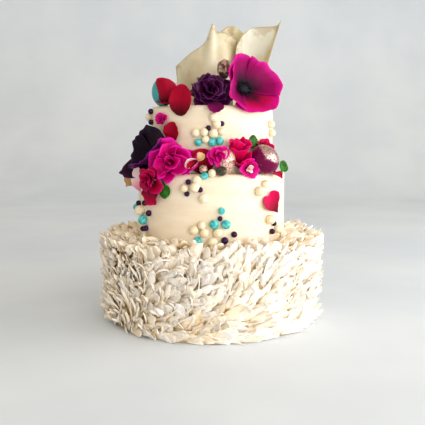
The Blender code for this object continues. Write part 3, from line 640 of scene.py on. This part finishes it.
ANEMONES = {
    "anemone_magenta": ((0.0385, -0.0500, 0.2855), (41, 25, 0), "magenta_petal", [
        (29, 0.0312, 0.0260), (60, 0.0283, 0.0240), (86, 0.0348, 0.0220), (105, 0.0364, 0.0210),
        (132, 0.0325, 0.0180), (169, 0.0271, 0.0120), (203, 0.0332, 0.0060), (248, 0.0340, 0.0070),
        (279, 0.0355, 0.0090), (303, 0.0440, 0.0170), (322, 0.0396, 0.0240), (351, 0.0371, 0.0260)],
        [("magenta_cup_painted_shade", 118, 104, 0.90, 0.0005), ("magenta_cup_painted_shade", 24, 116, 0.95, 0.0012),
         ("magenta_lip_painted_shade", -78, 122, 0.85, 0.0), ("magenta_cup_painted_shade", 190, 112, 0.80, 0.0008)]),
    "anemone_dark": ((-0.0671, -0.0506, 0.2040), (-58, 8, 0), "plum_petal", [
        (10, 0.0170, 0.0200), (43, 0.0340, 0.0050), (57, 0.0400, 0.0080), (83, 0.0367, 0.0120),
        (103, 0.0335, 0.0150), (123, 0.0312, 0.0170), (140, 0.0280, 0.0190), (150, 0.0315, 0.0200),
        (173, 0.0262, 0.0180), (200, 0.0220, 0.0220), (240, 0.0200, 0.0260), (276, 0.0125, 0.0310),
        (330, 0.0125, 0.0260)],
        [("night_petal", 88, 112, 0.7, 0.0), ("night_petal", 162, 94, 0.8, 0.0008),
         ("plum_petal", 228, 92, 0.8, 0.0004), ("violet_petal", -32, 150, 0.9, 0.0012)]),
}
LEAF_PETAL = (0.0373, 0.0290, 215, 104, 0.0020, 0.75)
PETAL_THICKNESS = 0.0007
PETAL_GRID = 21
KNOB_SIZE = (0.0082, 0.0064, 0.0052)
KNOB_PLACE = (-0.005, -0.0025, 0.0025)
STAMEN_COUNT = 64
STAMEN_SQUASH = (1.15, 0.85, 0.8)
STAMEN_PLACE = (-0.0035, -0.0025, 0.0)
STALK_THICKNESS = (0.00022, 0.00020, 0.00020, 0.00020, 0.00045, 0.00080, 0.00070, 0.00005)
STALK_HEAD = (0.35, 0.6, 0.85, 1.0)


def facing(place, azimuth, tilt, roll=0.0):
    """A frame as a 3 x 3 array of axes in columns, and its place: z looks out at an azimuth and a tilt
    above level, y points up, and roll turns them about the look."""
    a, t, r = np.radians([azimuth, tilt, roll])
    side = np.array([np.cos(a), np.sin(a), 0.0])
    look = np.array([np.sin(a) * np.cos(t), -np.cos(a) * np.cos(t), np.sin(t)])
    up = np.cross(look, side)
    axes = np.stack([side * np.cos(r) + up * np.sin(r), up * np.cos(r) - side * np.sin(r), look], -1)
    return axes, np.asarray(place, float)


def set_in(points, axes_place):
    """Points moved from a piece's own frame to the cake's."""
    axes, place = axes_place
    return points @ axes.T + place


def cup_petal(reach, rise, angle, spread, flare=0.0, tip=0.0, wave=0.0012, fine=0.0005, start=0.0,
              belly=1.5, size=PETAL_GRID, lobed=0.26, fan=0.34):
    """A petal of an open or full flower in round measure. Its radius grows almost evenly from the foot and
    flares at the rim, and its height is a power, the belly, of its way along. Its angle opens from the fan's
    share at the foot to the whole spread, and the tip's share draws it in again. Its rim is rounded by the
    lobed share, and slow waves and fine crinkles grow towards it. Reach and rise are one number each, or one
    for each column."""
    v, u = np.meshgrid(np.linspace(0, 1, size), np.linspace(-1, 1, size), indexing="ij")
    s = v * (1 - lobed * abs(u) ** 3 - 0.035 * np.sin(4.2 * u + start) ** 2)
    bend = wave * s ** 3
    crinkle = fine * s ** 6
    radius = reach * (0.04 + 0.96 * s ** 0.9) + flare * s ** 4
    radius = radius + bend * np.sin(2.6 * u + start) + crinkle * np.sin(13 * u + 2 * start)
    height = rise * s ** belly - 0.4 * flare * s ** 6
    height = height + bend * np.cos(3.3 * u + 1.7 * start) + crinkle * np.cos(11 * u + start)
    half = math.radians(spread) / 2 * (fan + (1 - fan) * np.sin(np.pi / 2 * s)) * (1 - tip * s ** 2)
    turn = math.radians(angle) + u * half
    points = np.stack([radius * np.cos(turn), radius * np.sin(turn), height], -1)
    return points, np.stack([u / 2 + 0.5, v], -1)


def rim_at(knots, angles):
    """Reach and rise of a cup's rim at each angle, read between its knots (angle, reach, rise)."""
    where, reach, rise = np.asarray(knots, float).T
    return (np.interp(angles, where, values, period=360) for values in (reach, rise))


def petal_finish(name, heart, body, rim, vein, rough=0.5, reach=(0.05, 0.60), band=0.86, shine=0.10):
    """A fresh petal: dark at the foot, its own colour in the middle, lighter at the rim, streaked by fine
    veins that run from foot to tip and bump it. Petals of a low tone are nearer to the vein colour, which
    paints shade on the inner rings of the full flowers. The reach is where the body's colour sets in along
    the petal, and the band where the rim's does."""
    made, mixer = finish(name, {"Subsurface Weight": 0.1, "Subsurface Scale": 0.0012,
                                "Subsurface Radius": (1.0, 0.2, 0.4), "Specular IOR Level": shine})
    uv = mixer.node("UVMap")
    side, along = uv.part(0), uv.part(1)
    tint = mixer.own_tone()
    drawn = mixer.node("CombineXYZ", None, {0: side * 26.0, 1: along * 2.2, 2: tint * 9.0})
    streak = mixer.noise(1.0, 3.0, 0.6, drawn)
    cloud = mixer.noise(120.0, 2.0)
    lip = along.step(band, 1.01).most((side.off(0.5) * 2.0).step(0.90, 1.01) * 0.4)
    base = (along + cloud * 0.2 - 0.1).step(*reach).mix(colour(heart), colour(body))
    base = (lip * (cloud * 0.6 + 0.6)).mix(base, colour(rim))
    base = (streak.step(0.50, 0.72) * 0.5 + (1 - tint) * 0.6).mix(base, colour(vein))
    mixer.paint(base, streak * 0.25 + (rough - 0.1), (streak + cloud * 0.4).bump(0.0004, 0.6))
    return made


PETAL_COLOURS = {
    # The cup and lip finishes paint the shade inside the magenta anemone's deep cup: a near black foot, and
    # on the cup petals a dark body that reaches far up the petal.
    "magenta_cup_painted_shade": ("180014", "a00060", "d0128e", "5e0038", 0.5, (0.15, 1.05), 0.80),
    "magenta_lip_painted_shade": ("20001a", "c0004c", "cc0a8c", "98003c", 0.5, (0.25, 0.85), 0.66),
    "magenta_petal": ("80002c", "dc0084", "f428bc", "b40048", 0.5, (0.15, 1.0)),
    "plum_petal": ("0b020b", "24051e", "45174c", "16030f", 0.4),
    "night_petal": ("060106", "16021a", "260636", "0c0110", 0.4),
    "purple_petal": ("1c0318", "42063a", "641462", "26041f", 0.28, (0.05, 0.60), 0.86, 0.22),
    "violet_petal": ("3a0638", "520a54", "7c2884", "38063c", 0.4),
    "crimson_petal": ("48000c", "a8002a", "c00042", "78001e"),
    "ruffle_petal": ("50001a", "b0003c", "d0106c", "78002c", 0.5, (0.10, 0.85)),
    "rose_petal": ("6c0018", "d40052", "e8147c", "a4003a", 0.5, (0.10, 0.90)),
    "blush_petal": ("e07898", "f8dce0", "fff4f4", "f0bcc4"),
    "wine_petal": ("3a0424", "700050", "980a6c", "4a0436"),
    "cream_petal": ("c89858", "e8c894", "f4e4c0", "d8b070"),
    "tan_petal": ("a07840", "c8a070", "dcbc90", "a88050"),
}
petal_finishes = {name: petal_finish(name, *values) for name, values in PETAL_COLOURS.items()}


def flower_mesh(name, pieces, slot, node, thickness=PETAL_THICKNESS, look=None):
    """Petals as closed thin sheets in one mesh. Each comes with its grid, its uv and its tone."""
    parts, uvs, tones = [], [], []
    for grid, uv, tone in pieces:
        points, faces = thin_sheet(grid, thickness)
        parts.append((points, [faces]))
        uvs.append(np.stack([uv, uv]).reshape(-1, 2))
        tones.append(np.full(len(points), tone))
    points, faces = gathered(parts)
    made = new_mesh(name, points, faces, petal_finishes[look or slot], np.concatenate(uvs),
                    np.concatenate(tones))
    return dress(made, slot, node)


heart_dark, mixer = finish("anemone_heart", {"Roughness": 0.6, "Specular IOR Level": 0.2})
grains = mixer.node("TexVoronoi", None, {"Vector": mixer.place(), "Scale": 900.0})
mixer.paint(grains.step(0.1, 0.6).mix(colour("1a2038"), colour("05060c")),
            normal=(1 - grains).bump(0.0006, 0.9))


def stamens(rng, count, inner, outer, rise):
    """Thin stalks in a ring: each path leans out from the inner to the outer radius while it rises, and
    its thickness swells at the end to a pollen head. A six-sided ring is carried along each path."""
    steps, sides = len(STALK_THICKNESS), 6
    t = np.linspace(0, 1, steps)[None, :, None]
    angle = (np.arange(count) * 360 / count + rng.uniform(-5, 5, count)) * np.pi / 180
    out = np.stack([np.cos(angle), np.sin(angle), 0 * angle], -1)[:, None, :]
    far = (outer * rng.uniform(0.62, 1.05, count))[:, None, None]
    high = (rise * rng.uniform(0.55, 1.1, count))[:, None, None]
    path = out * (inner + (far - inner) * t ** 1.4)
    path = path + np.array([0, 0, 1.0]) * high * np.sin(np.pi / 2 * t)
    path[:, 4:] = path[:, 3:4] + (path[:, 7:8] - path[:, 3:4]) * np.array(STALK_HEAD)[None, :, None]
    thick = np.array(STALK_THICKNESS)[None, :, None, None]
    round_it = np.linspace(0, 2 * np.pi, sides, endpoint=False)[None, None, :, None]
    side = np.cross(out, [0.0, 0.0, 1.0])[:, :, None, :]
    way = path[:, -1:] - path[:, :1]
    way = way / np.linalg.norm(way, axis=-1, keepdims=True)
    other = np.cross(way[:, :, None, :], side)
    rings = path[:, :, None, :] + thick * (side * np.cos(round_it) + other * np.sin(round_it))
    return rings.reshape(count, steps * sides, 3), strip_faces(steps, sides, True)


for node, (place, aim, slot, rim, petals) in ANEMONES.items():
    where = facing(place, *aim)
    rng = np.random.default_rng(5)
    for k, (look, angle, spread, tone, lift) in enumerate(petals):
        reach, rise = rim_at(rim, angle + np.linspace(-spread / 2, spread / 2, PETAL_GRID))
        grid, uv = cup_petal(reach, rise, angle, spread, 0.0015, 0.0, 0.0026, 0.0007, 1.9 * k, 1.7,
                             lobed=0.06, fan=0.85)
        sheet = (set_in(grid + [0, 0, lift], where), uv, tone)
        flower_mesh(f"{node}_petal_{k}", [sheet], slot, node, look=look)
    points, faces = ball(KNOB_SIZE, 28, 15)
    knob = new_mesh(node + "_knob", set_in(points + KNOB_PLACE, where), faces, heart_dark)
    dress(knob, slot, node)
    points, faces = repeated(*stamens(rng, STAMEN_COUNT, 0.0060, 0.0122, 0.0095))
    points = set_in(points * STAMEN_SQUASH + STAMEN_PLACE, where)
    dress(new_mesh(node + "_stamens", points, faces, heart_dark), slot, node)

place, aim, slot = ANEMONES["anemone_dark"][:3]
grid, uv = cup_petal(*LEAF_PETAL, belly=1.7)
flower_mesh("anemone_dark_leaf_petal", [(set_in(grid, facing(place, *aim)), uv, 0.9)], slot, "anemone_dark")

# The full flowers. Carnations and small blossoms, fresh, wired and pushed into the ledge. Rings of lobed
# petals stand upright in the middle and fall open towards the rim. A flower is given by its place, aim,
# radius, depth, kind, slot and finish, and a ring by its share of the radius and depth and its petals.

FULL_FLOWERS = {
    "carnation_purple": ((-0.0010, -0.0455, 0.2735), (-2, 32, 10), 0.0270, 0.0305, "rose",
                         "plum_petal", "purple_petal"),
    "carnation_magenta": (wall_point(-33.5, 0.0745, 0.1990), (-22, 4, 5), 0.0272, 0.0340, "peony",
                          "magenta_petal", "magenta_petal"),
    "blossom_crimson": (wall_point(-43.5, 0.0975, 0.1790), (-38, -4, 0), 0.0170, 0.0165, "ruffle",
                        "crimson_petal", "ruffle_petal"),
    "blossom_magenta": (wall_point(4.7, 0.0915, 0.2073), (2, 8, 60), 0.0122, 0.0110, "ruffle",
                        "magenta_petal", "magenta_petal"),
    "carnation_red": (wall_point(23.5, 0.0810, 0.1925), (-4, 66, 0), 0.0136, 0.0380, "fan",
                      "crimson_petal", "rose_petal"),
    "blossom_pink": (wall_point(27.5, 0.0915, 0.1930), (24, -4, 8), 0.0140, 0.0105, "floret",
                     "magenta_petal", "magenta_petal"),
    "blossom_red": (wall_point(50, 0.0790, 0.2125), (46, 42, 0), 0.0130, 0.0150, "small",
                    "crimson_petal", "rose_petal"),
    "bud_magenta": (wall_point(-47.8, 0.0765, 0.2490), (-40, 10, 0), 0.0088, 0.0090, "small",
                    "magenta_petal", "magenta_petal"),
    "carnation_back": (wall_point(180, 0.0750, 0.2030), (180, 8, 0), 0.0226, 0.0310, "peony",
                       "magenta_petal", "magenta_petal"),
    "blossom_back": (wall_point(-112, 0.0765, 0.1990), (-112, 15, 0), 0.0155, 0.0170, "small",
                     "crimson_petal", "crimson_petal"),
    "carnation_side": (wall_point(138, 0.0755, 0.2010), (138, 12, 0), 0.0190, 0.0240, "rose",
                       "plum_petal", "plum_petal"),
}
RINGS = {
    "rose": ([(0.16, 0.98, 3), (0.32, 1.0, 3), (0.50, 0.96, 4), (0.68, 0.86, 5), (0.85, 0.70, 6),
              (1.0, 0.46, 6)], 0.55, 0.14, 0.035, 0.10, 0.26),
    "peony": ([(0.22, 0.84, 3), (0.42, 0.92, 3), (0.64, 0.84, 4), (0.86, 0.66, 4), (1.0, 0.42, 5)],
              0.62, 0.26, 0.045, 0.16, 0.22),
    "ruffle": ([(0.16, 0.84, 3), (0.42, 0.90, 3), (0.72, 0.80, 3), (1.0, 0.44, 4)],
               0.70, 0.22, 0.030, 0.16, 0.16),
    "fan": ([(0.35, 0.94, 2), (0.70, 1.0, 3), (1.02, 0.92, 4), (1.15, 0.45, 5)],
            0.80, 0.22, 0.035, 0.10, 0.26),
    "floret": ([(1.0, 0.45, 5)], 1.1, 0.10, 0.03, 0.25, 0.30),
    "small": ([(0.30, 0.92, 3), (0.64, 0.86, 3), (1.0, 0.56, 4)], 0.65, 0.16, 0.03, 0.12, 0.20),
}
RING_GRID = 15
FLORET_HEART = (0.0042, 0.0062, (30, 150, 270), 150)
THIN_PETAL = 0.0006

for number, (node, (place, aim, radius, depth, kind, slot, look)) in enumerate(FULL_FLOWERS.items()):
    where = facing(place, *aim)
    rng = np.random.default_rng(40 + number)
    rings, belly, wave, fine, uneven, lobed = RINGS[kind]
    pieces = []
    for ring, (share, high, count) in enumerate(rings):
        for k in range(count):
            angle = 360 * (k + 0.5 * ring + rng.uniform(-0.25, 0.25)) / count
            reach = radius * share * rng.uniform(0.96 - uneven, 1.0)
            grid, uv = cup_petal(reach, depth * high * rng.uniform(1 - uneven, 1.0), angle,
                                 min(360 / count * rng.uniform(1.25, 1.7), 170), 0.05 * radius, 0.0,
                                 wave * radius, fine * radius, rng.uniform(0, 6.3), belly, RING_GRID, lobed)
            # Inner rings get a low tone, which paints them nearer the dark vein colour: painted shade deep in
            # the flower.
            pieces.append((set_in(grid, where), uv, 0.10 + 0.75 * share + rng.uniform(0, 0.15)))
    flower_mesh(node + "_petals", pieces, slot, node, THIN_PETAL, look)

place, aim = FULL_FLOWERS["blossom_pink"][:2]
reach, rise, turns, spread = FLORET_HEART
petals = [cup_petal(reach, rise, turn, spread, size=9) for turn in turns]
pieces = [(set_in(grid, facing(place, *aim)), uv, 0.9) for grid, uv in petals]
flower_mesh("blossom_pink_heart", pieces, "magenta_petal", "blossom_pink", THIN_PETAL, "blush_petal")

# Loose petals. Single petals of the same flowers, laid on the ledges and pressed to the icing between
# the flowers, some flat and some curled on edge.

LOOSE_PETALS = {
    "petal_front": (wall_point(-27.5, 0.0790, 0.2530), (-24, -4, -7), 0.0365, 0.0280, "crimson_petal",
                    "crimson_petal", dict(narrow=1.0, curl=-0.002)),
    "petal_dome": ((-0.0535, -0.0470, 0.2660), (-30, -8, 8), 0.033, 0.030, "crimson_petal",
                   "crimson_petal", dict(cup=-0.010)),
    "petal_edge": (wall_point(-40, 0.0750, 0.2678), (-53, 84, 90), 0.030, 0.010, "crimson_petal",
                   "crimson_petal", dict(point=0.5)),
    "petal_plum": ((0.0050, -0.0765, 0.2690), (2, 35, 180), 0.0165, 0.0200, "plum_petal",
                   "wine_petal", dict(narrow=0.7, wave=0.001)),
    "petal_tip": ((-0.0450, -0.0240, 0.2655), (-30, 5, -4), 0.030, 0.012, "blush_petal",
                  "blush_petal", dict(point=0.6)),
    "petal_wine": (wall_point(-36.5, 0.0790, 0.2205), (-34, 2, -8), 0.0265, 0.0220, "crimson_petal",
                   "crimson_petal", {}),
    "petal_low": (wall_point(-46, 0.0965, 0.1745), (-38, 0, 178), 0.0255, 0.0270, "crimson_petal",
                  "ruffle_petal", dict(wave=0.003, waves=4)),
    "petal_blush": (wall_point(-57, 0.1020, 0.1645), (-48, 4, 12), 0.0300, 0.0220, "blush_petal",
                    "blush_petal", dict(wave=0.002)),
    "petal_cream": (wall_point(-76, 0.0950, 0.1870), (-55, 28, 176), 0.0240, 0.0290, "cream_petal",
                    "tan_petal", dict(wave=0.003)),
    "petal_arc": (wall_point(-7, 0.0795, 0.1870), (-6, 4, 4), 0.0290, 0.0320, "crimson_petal",
                  "crimson_petal", dict(narrow=0.8)),
    "petal_point": (wall_point(52, 0.0850, 0.1905), (54, 60, 184), 0.0220, 0.0200, "crimson_petal",
                    "rose_petal", dict(point=0.85)),
    "petal_heart": (wall_point(53.0, 0.0985, 0.1395), (34, 2, 34), 0.0300, 0.0285, "crimson_petal",
                    "rose_petal", dict(narrow=0.08, notch=0.16)),
    "petal_back_left": (wall_point(-130, 0.0930, 0.1820), (-130, 40, 176), 0.027, 0.024, "crimson_petal",
                        "crimson_petal", {}),
    "petal_back_top": ((-0.0100, 0.0480, 0.2665), (175, 70, 20), 0.028, 0.024, "crimson_petal",
                       "crimson_petal", {}),
}


def petal_grid(length, width, cup=0.004, curl=0.002, wave=0.0012, waves=3, narrow=0.55, point=0.0,
               notch=0.0, fine=0.0005, start=0.7):
    """A petal from its foot at the origin along y, looking along z. A square grid is drawn into a disc,
    narrowed at the foot by a sine, drawn in to a point at the tip and notched there by a bell curve. It
    rises with the square of its distance from the middle line, curls with the square of its way along, and
    waves more towards its rim."""
    v, u = np.meshgrid(np.linspace(-1, 1, PETAL_GRID), np.linspace(-1, 1, PETAL_GRID), indexing="ij")
    x, y = u * np.sqrt(1 - v * v / 2), v * np.sqrt(1 - u * u / 2)
    along = (y + 1) / 2
    reach = np.hypot(x, y)
    taper = narrow + (1 - narrow) * np.sin(np.pi / 2 * np.minimum(1, 1.3 * along))
    taper = taper * (1 - point * np.maximum(0, along - 0.6) / 0.4)
    angle = np.arctan2(x, y)
    rise = cup * x ** 2 * (0.4 + 0.6 * along) + curl * along ** 2
    rise = rise + wave * reach ** 3 * np.sin(waves * angle + start)
    rise = rise + fine * reach ** 5 * np.sin(11 * angle + 2.3 * start) * (along > 0.1)
    dip = 1 - notch * along ** 3 * np.exp(-(x / 0.3) ** 2)
    points = np.stack([x * width / 2 * taper, length * along * dip, rise], -1)
    return points, np.stack([x / 2 + 0.5, along], -1)


for number, (node, (place, aim, length, width, slot, look, form)) in enumerate(LOOSE_PETALS.items()):
    grid, uv = petal_grid(length, width, start=0.7 + number, **form)
    flower_mesh(node + "_sheet", [(set_in(grid, facing(place, *aim)), uv, 0.85)], slot, node, 0.0009, look)

# The snapdragon. One small two-lipped bloom lies in the arc petal's hollow: a cream lobe above, and a
# crimson lip with a pale edge below.

SNAPDRAGON = {
    "lobe": ((-9.4, 0.0925, 0.2020), (-8, 20, -42), 0.0105, 0.0100, "cream_petal"),
    "lip": ((-9.4, 0.0925, 0.2030), (-14, 12, 132), 0.0150, 0.0080, "crimson_petal"),
    "edge": ((-8.8, 0.0908, 0.2038), (-14, 12, 122), 0.0175, 0.0115, "blush_petal"),
}

for number, (part, (spot, aim, length, width, slot)) in enumerate(SNAPDRAGON.items()):
    grid, uv = petal_grid(length, width, 0.006, 0.003, 0.0008, fine=0.0004, start=1.3 * number)
    sheet = (set_in(grid, facing(wall_point(*spot), *aim)), uv, 0.9)
    flower_mesh("snapdragon_" + part, [sheet], slot, "blossom_cream", 0.0008)

# Leaves. Three fresh green leaves, folded a little along the midrib, stick out between the flowers.

LEAVES = {
    "leaf_low": ((-35.5, 0.0955, 0.1815), (-32, 4, 184), 0.0235, 0.0165, -0.0015, 0.30),
    "leaf_ledge": ((39, 0.0795, 0.2160), (32, 4, -4), 0.0155, 0.0135, -0.0012, 0.0),
    "leaf_right": ((71, 0.0905, 0.1845), (40, 25, -42), 0.0215, 0.0140, 0.0012, 0.2),
}
LEAF_GRID = (27, 15)
LEAF_DROOP = 0.001
LEAF_THICKNESS = 0.0008


def leaf_grid(length, width, fold, stalk):
    """A leaf along y: a narrow stalk for its share of the way, then a blade whose half width is a power of
    a sine. It rises with the distance from the midrib and droops with the square of the way along."""
    v, u = np.meshgrid(*(np.linspace(low, 1, count) for low, count in zip((0, -1), LEAF_GRID)), indexing="ij")
    blade = np.clip((v - stalk) / (1 - stalk), 0, 1)
    half = width / 2 * np.maximum(0.09, np.sin(np.pi * (0.01 + 0.97 * blade) ** 0.8) ** 0.6)
    rise = fold * abs(u) * half / width * 2 - LEAF_DROOP * v ** 2 + 0.0003 * np.sin(9 * v + 3 * u)
    return np.stack([u * half, length * v, rise], -1), np.stack([u / 2 + 0.5, v], -1)


green, mixer = finish("green_leaf", {"Subsurface Weight": 0.1, "Subsurface Scale": 0.001,
                                     "Coat Weight": 0.05, "Coat Roughness": 0.3,
                                     "Specular IOR Level": 0.2})
uv = mixer.node("UVMap")
side, along = uv.part(0).off(0.5), uv.part(1)
ribs = mixer.math("SINE", (along - side * 0.9) * 44.0, 0.0).step(0.75, 1.0)
midrib = 1 - side.step(0.01, 0.04)
blade = mixer.noise(180.0).step(0.3, 0.7).mix(colour("0a440a"), colour("2c7a10"))
mixer.paint((ribs * 0.15 + midrib * 0.35).mix(blade, colour("5a8c40")), mixer.noise(300.0) * 0.2 + 0.35,
            (ribs * 0.5 + midrib).bump(0.0003, 0.8))

for node, (spot, aim, length, width, fold, stalk) in LEAVES.items():
    grid, uv = leaf_grid(length, width, fold, stalk)
    points, faces = thin_sheet(set_in(grid, facing(wall_point(*spot), *aim)), LEAF_THICKNESS)
    dress(new_mesh(node + "_blade", points, [faces], green, np.stack([uv, uv])), "leaf", node)

# Eggs and truffles. Chocolate eggs in coloured sugar shells, one banded with gold leaf, and round
# truffles rolled in bronze lustre, set among the flowers.

PURPLE_EGG = wall_point(42, 0.0920, 0.2028)
TRUFFLE_CUTS = 70
TRUFFLE_LOWEST = 0.80

teal_shell, mixer = finish("teal_shell", {"Coat Weight": 0.4, "Coat Roughness": 0.15, "Roughness": 0.35})
specks = mixer.node("TexVoronoi", None, {"Vector": mixer.place(), "Scale": 420.0}).step(0.16, 0.22)
mixer.paint(specks.mix(colour("1f5d66"), colour("1c9ca4")), normal=mixer.noise(500.0).bump(0.0002, 0.5))

wine_shell, mixer = finish("wine_shell", {"Coat Weight": 0.12, "Coat Roughness": 0.06,
                                          "Specular IOR Level": 0.1})
place = mixer.place()
band = place.vector("SUBTRACT", tuple(PURPLE_EGG)).vector("DOT_PRODUCT", (0.62, -0.45, 0.64), 1)
cracks = mixer.node("TexVoronoi", {"feature": "DISTANCE_TO_EDGE"}, {"Vector": place, "Scale": 620.0})
patch = mixer.noise(240.0, 3.0, 0.6)
leaf_gold = (band + patch * 0.006).step(0.0125, 0.0145) * cracks.step(0.05, 0.16)
leaf_gold = leaf_gold.most(patch.step(0.72, 0.76))
mixer.paint(leaf_gold.mix(colour("68003c"), colour("e0ccbc")), leaf_gold * 0.15 + 0.2,
            metallic=leaf_gold * 0.9)

speckled, mixer = finish("speckled_shell", {"Roughness": 0.4, "Coat Weight": 0.2, "Coat Roughness": 0.2})
specks = mixer.noise(700.0, 3.0, 0.7).step(0.52, 0.58)
mixer.paint(specks.mix(colour("f0c8b4"), colour("6c2c30")), normal=(1 - specks).bump(0.0005, 0.8),
            metallic=(1 - specks) * 0.35)


def foil_finish(name, dark, light, scale):
    """Lustre dust over a crumpled shell: dark in the folds, metallic on the ridges."""
    made, mixer = finish(name, {"Coat Weight": 0.1, "Coat Roughness": 0.2})
    folds = mixer.noise(scale, 3.0, 0.6)
    ridge = folds.step(0.36, 0.60)
    mixer.paint(ridge.mix(colour(dark), colour(light)), folds * 0.25 + 0.15, folds.bump(0.0006, 0.5),
                ridge * 0.5 + 0.4)
    return made


lustre = foil_finish("bronze_lustre", "4e3434", "e0b8a4", 150.0)
dark_lustre = foil_finish("dark_lustre", "26231f", "5c554a", 200.0)

EGGS = {
    "egg_teal": ((-0.0585, -0.0290, 0.2825), (-60, 0, 0), (0.0135, 0.0175, 0.0135), "teal_shell", teal_shell),
    "egg_purple": (PURPLE_EGG, (38, 12, -38), (0.0192, 0.0165, 0.0165), "wine_shell", wine_shell),
    "egg_speckled": (wall_point(10.8, 0.0876, 0.2025), (12, 0, -8), (0.0112, 0.0158, 0.0112), "lustre",
                     speckled),
    "egg_back": (wall_point(208, 0.0880, 0.2010), (208, 0, 20), (0.0115, 0.0145, 0.0115), "teal_shell",
                 teal_shell),
    "truffle_small": (wall_point(7.2, 0.0948, 0.1912), (0, 0, 0), (0.0067,) * 3, "lustre", dark_lustre),
    "truffle_gold": (wall_point(-5.6, 0.0885, 0.1925), (0, 0, 0), (0.0056,) * 3, "lustre", speckled),
    "truffle_bronze": ((0.0160, -0.0440, 0.3088), (0, 0, 0), (0.0108, 0.0118, 0.0108), "lustre", lustre),
}


def faceted(points, rng):
    """A crumpled foil form: each point is drawn in along its own direction to the nearest of many flat cuts
    that lie at random round the middle, none nearer to it than the lowest share."""
    size = np.linalg.norm(points, axis=1, keepdims=True)
    cuts = rng.normal(size=(TRUFFLE_CUTS, 3))
    cuts /= np.linalg.norm(cuts, axis=1, keepdims=True)
    facing_cut = (points / size) @ cuts.T
    share = rng.uniform(TRUFFLE_LOWEST, 0.97, TRUFFLE_CUTS) / np.maximum(facing_cut, 0.05)
    return points * np.minimum(1, share.min(axis=1))[:, None]


for number, (node, (place, aim, radii, slot, look)) in enumerate(EGGS.items()):
    points, faces = ball(radii, 48, 33)
    crumpled = node.startswith("truffle")
    if crumpled:
        points = faceted(points, np.random.default_rng(number))
    points = set_in(points, facing(place, *aim))
    dress(new_mesh(node + "_shell", points, faces, look, smooth=not crumpled), slot, node)
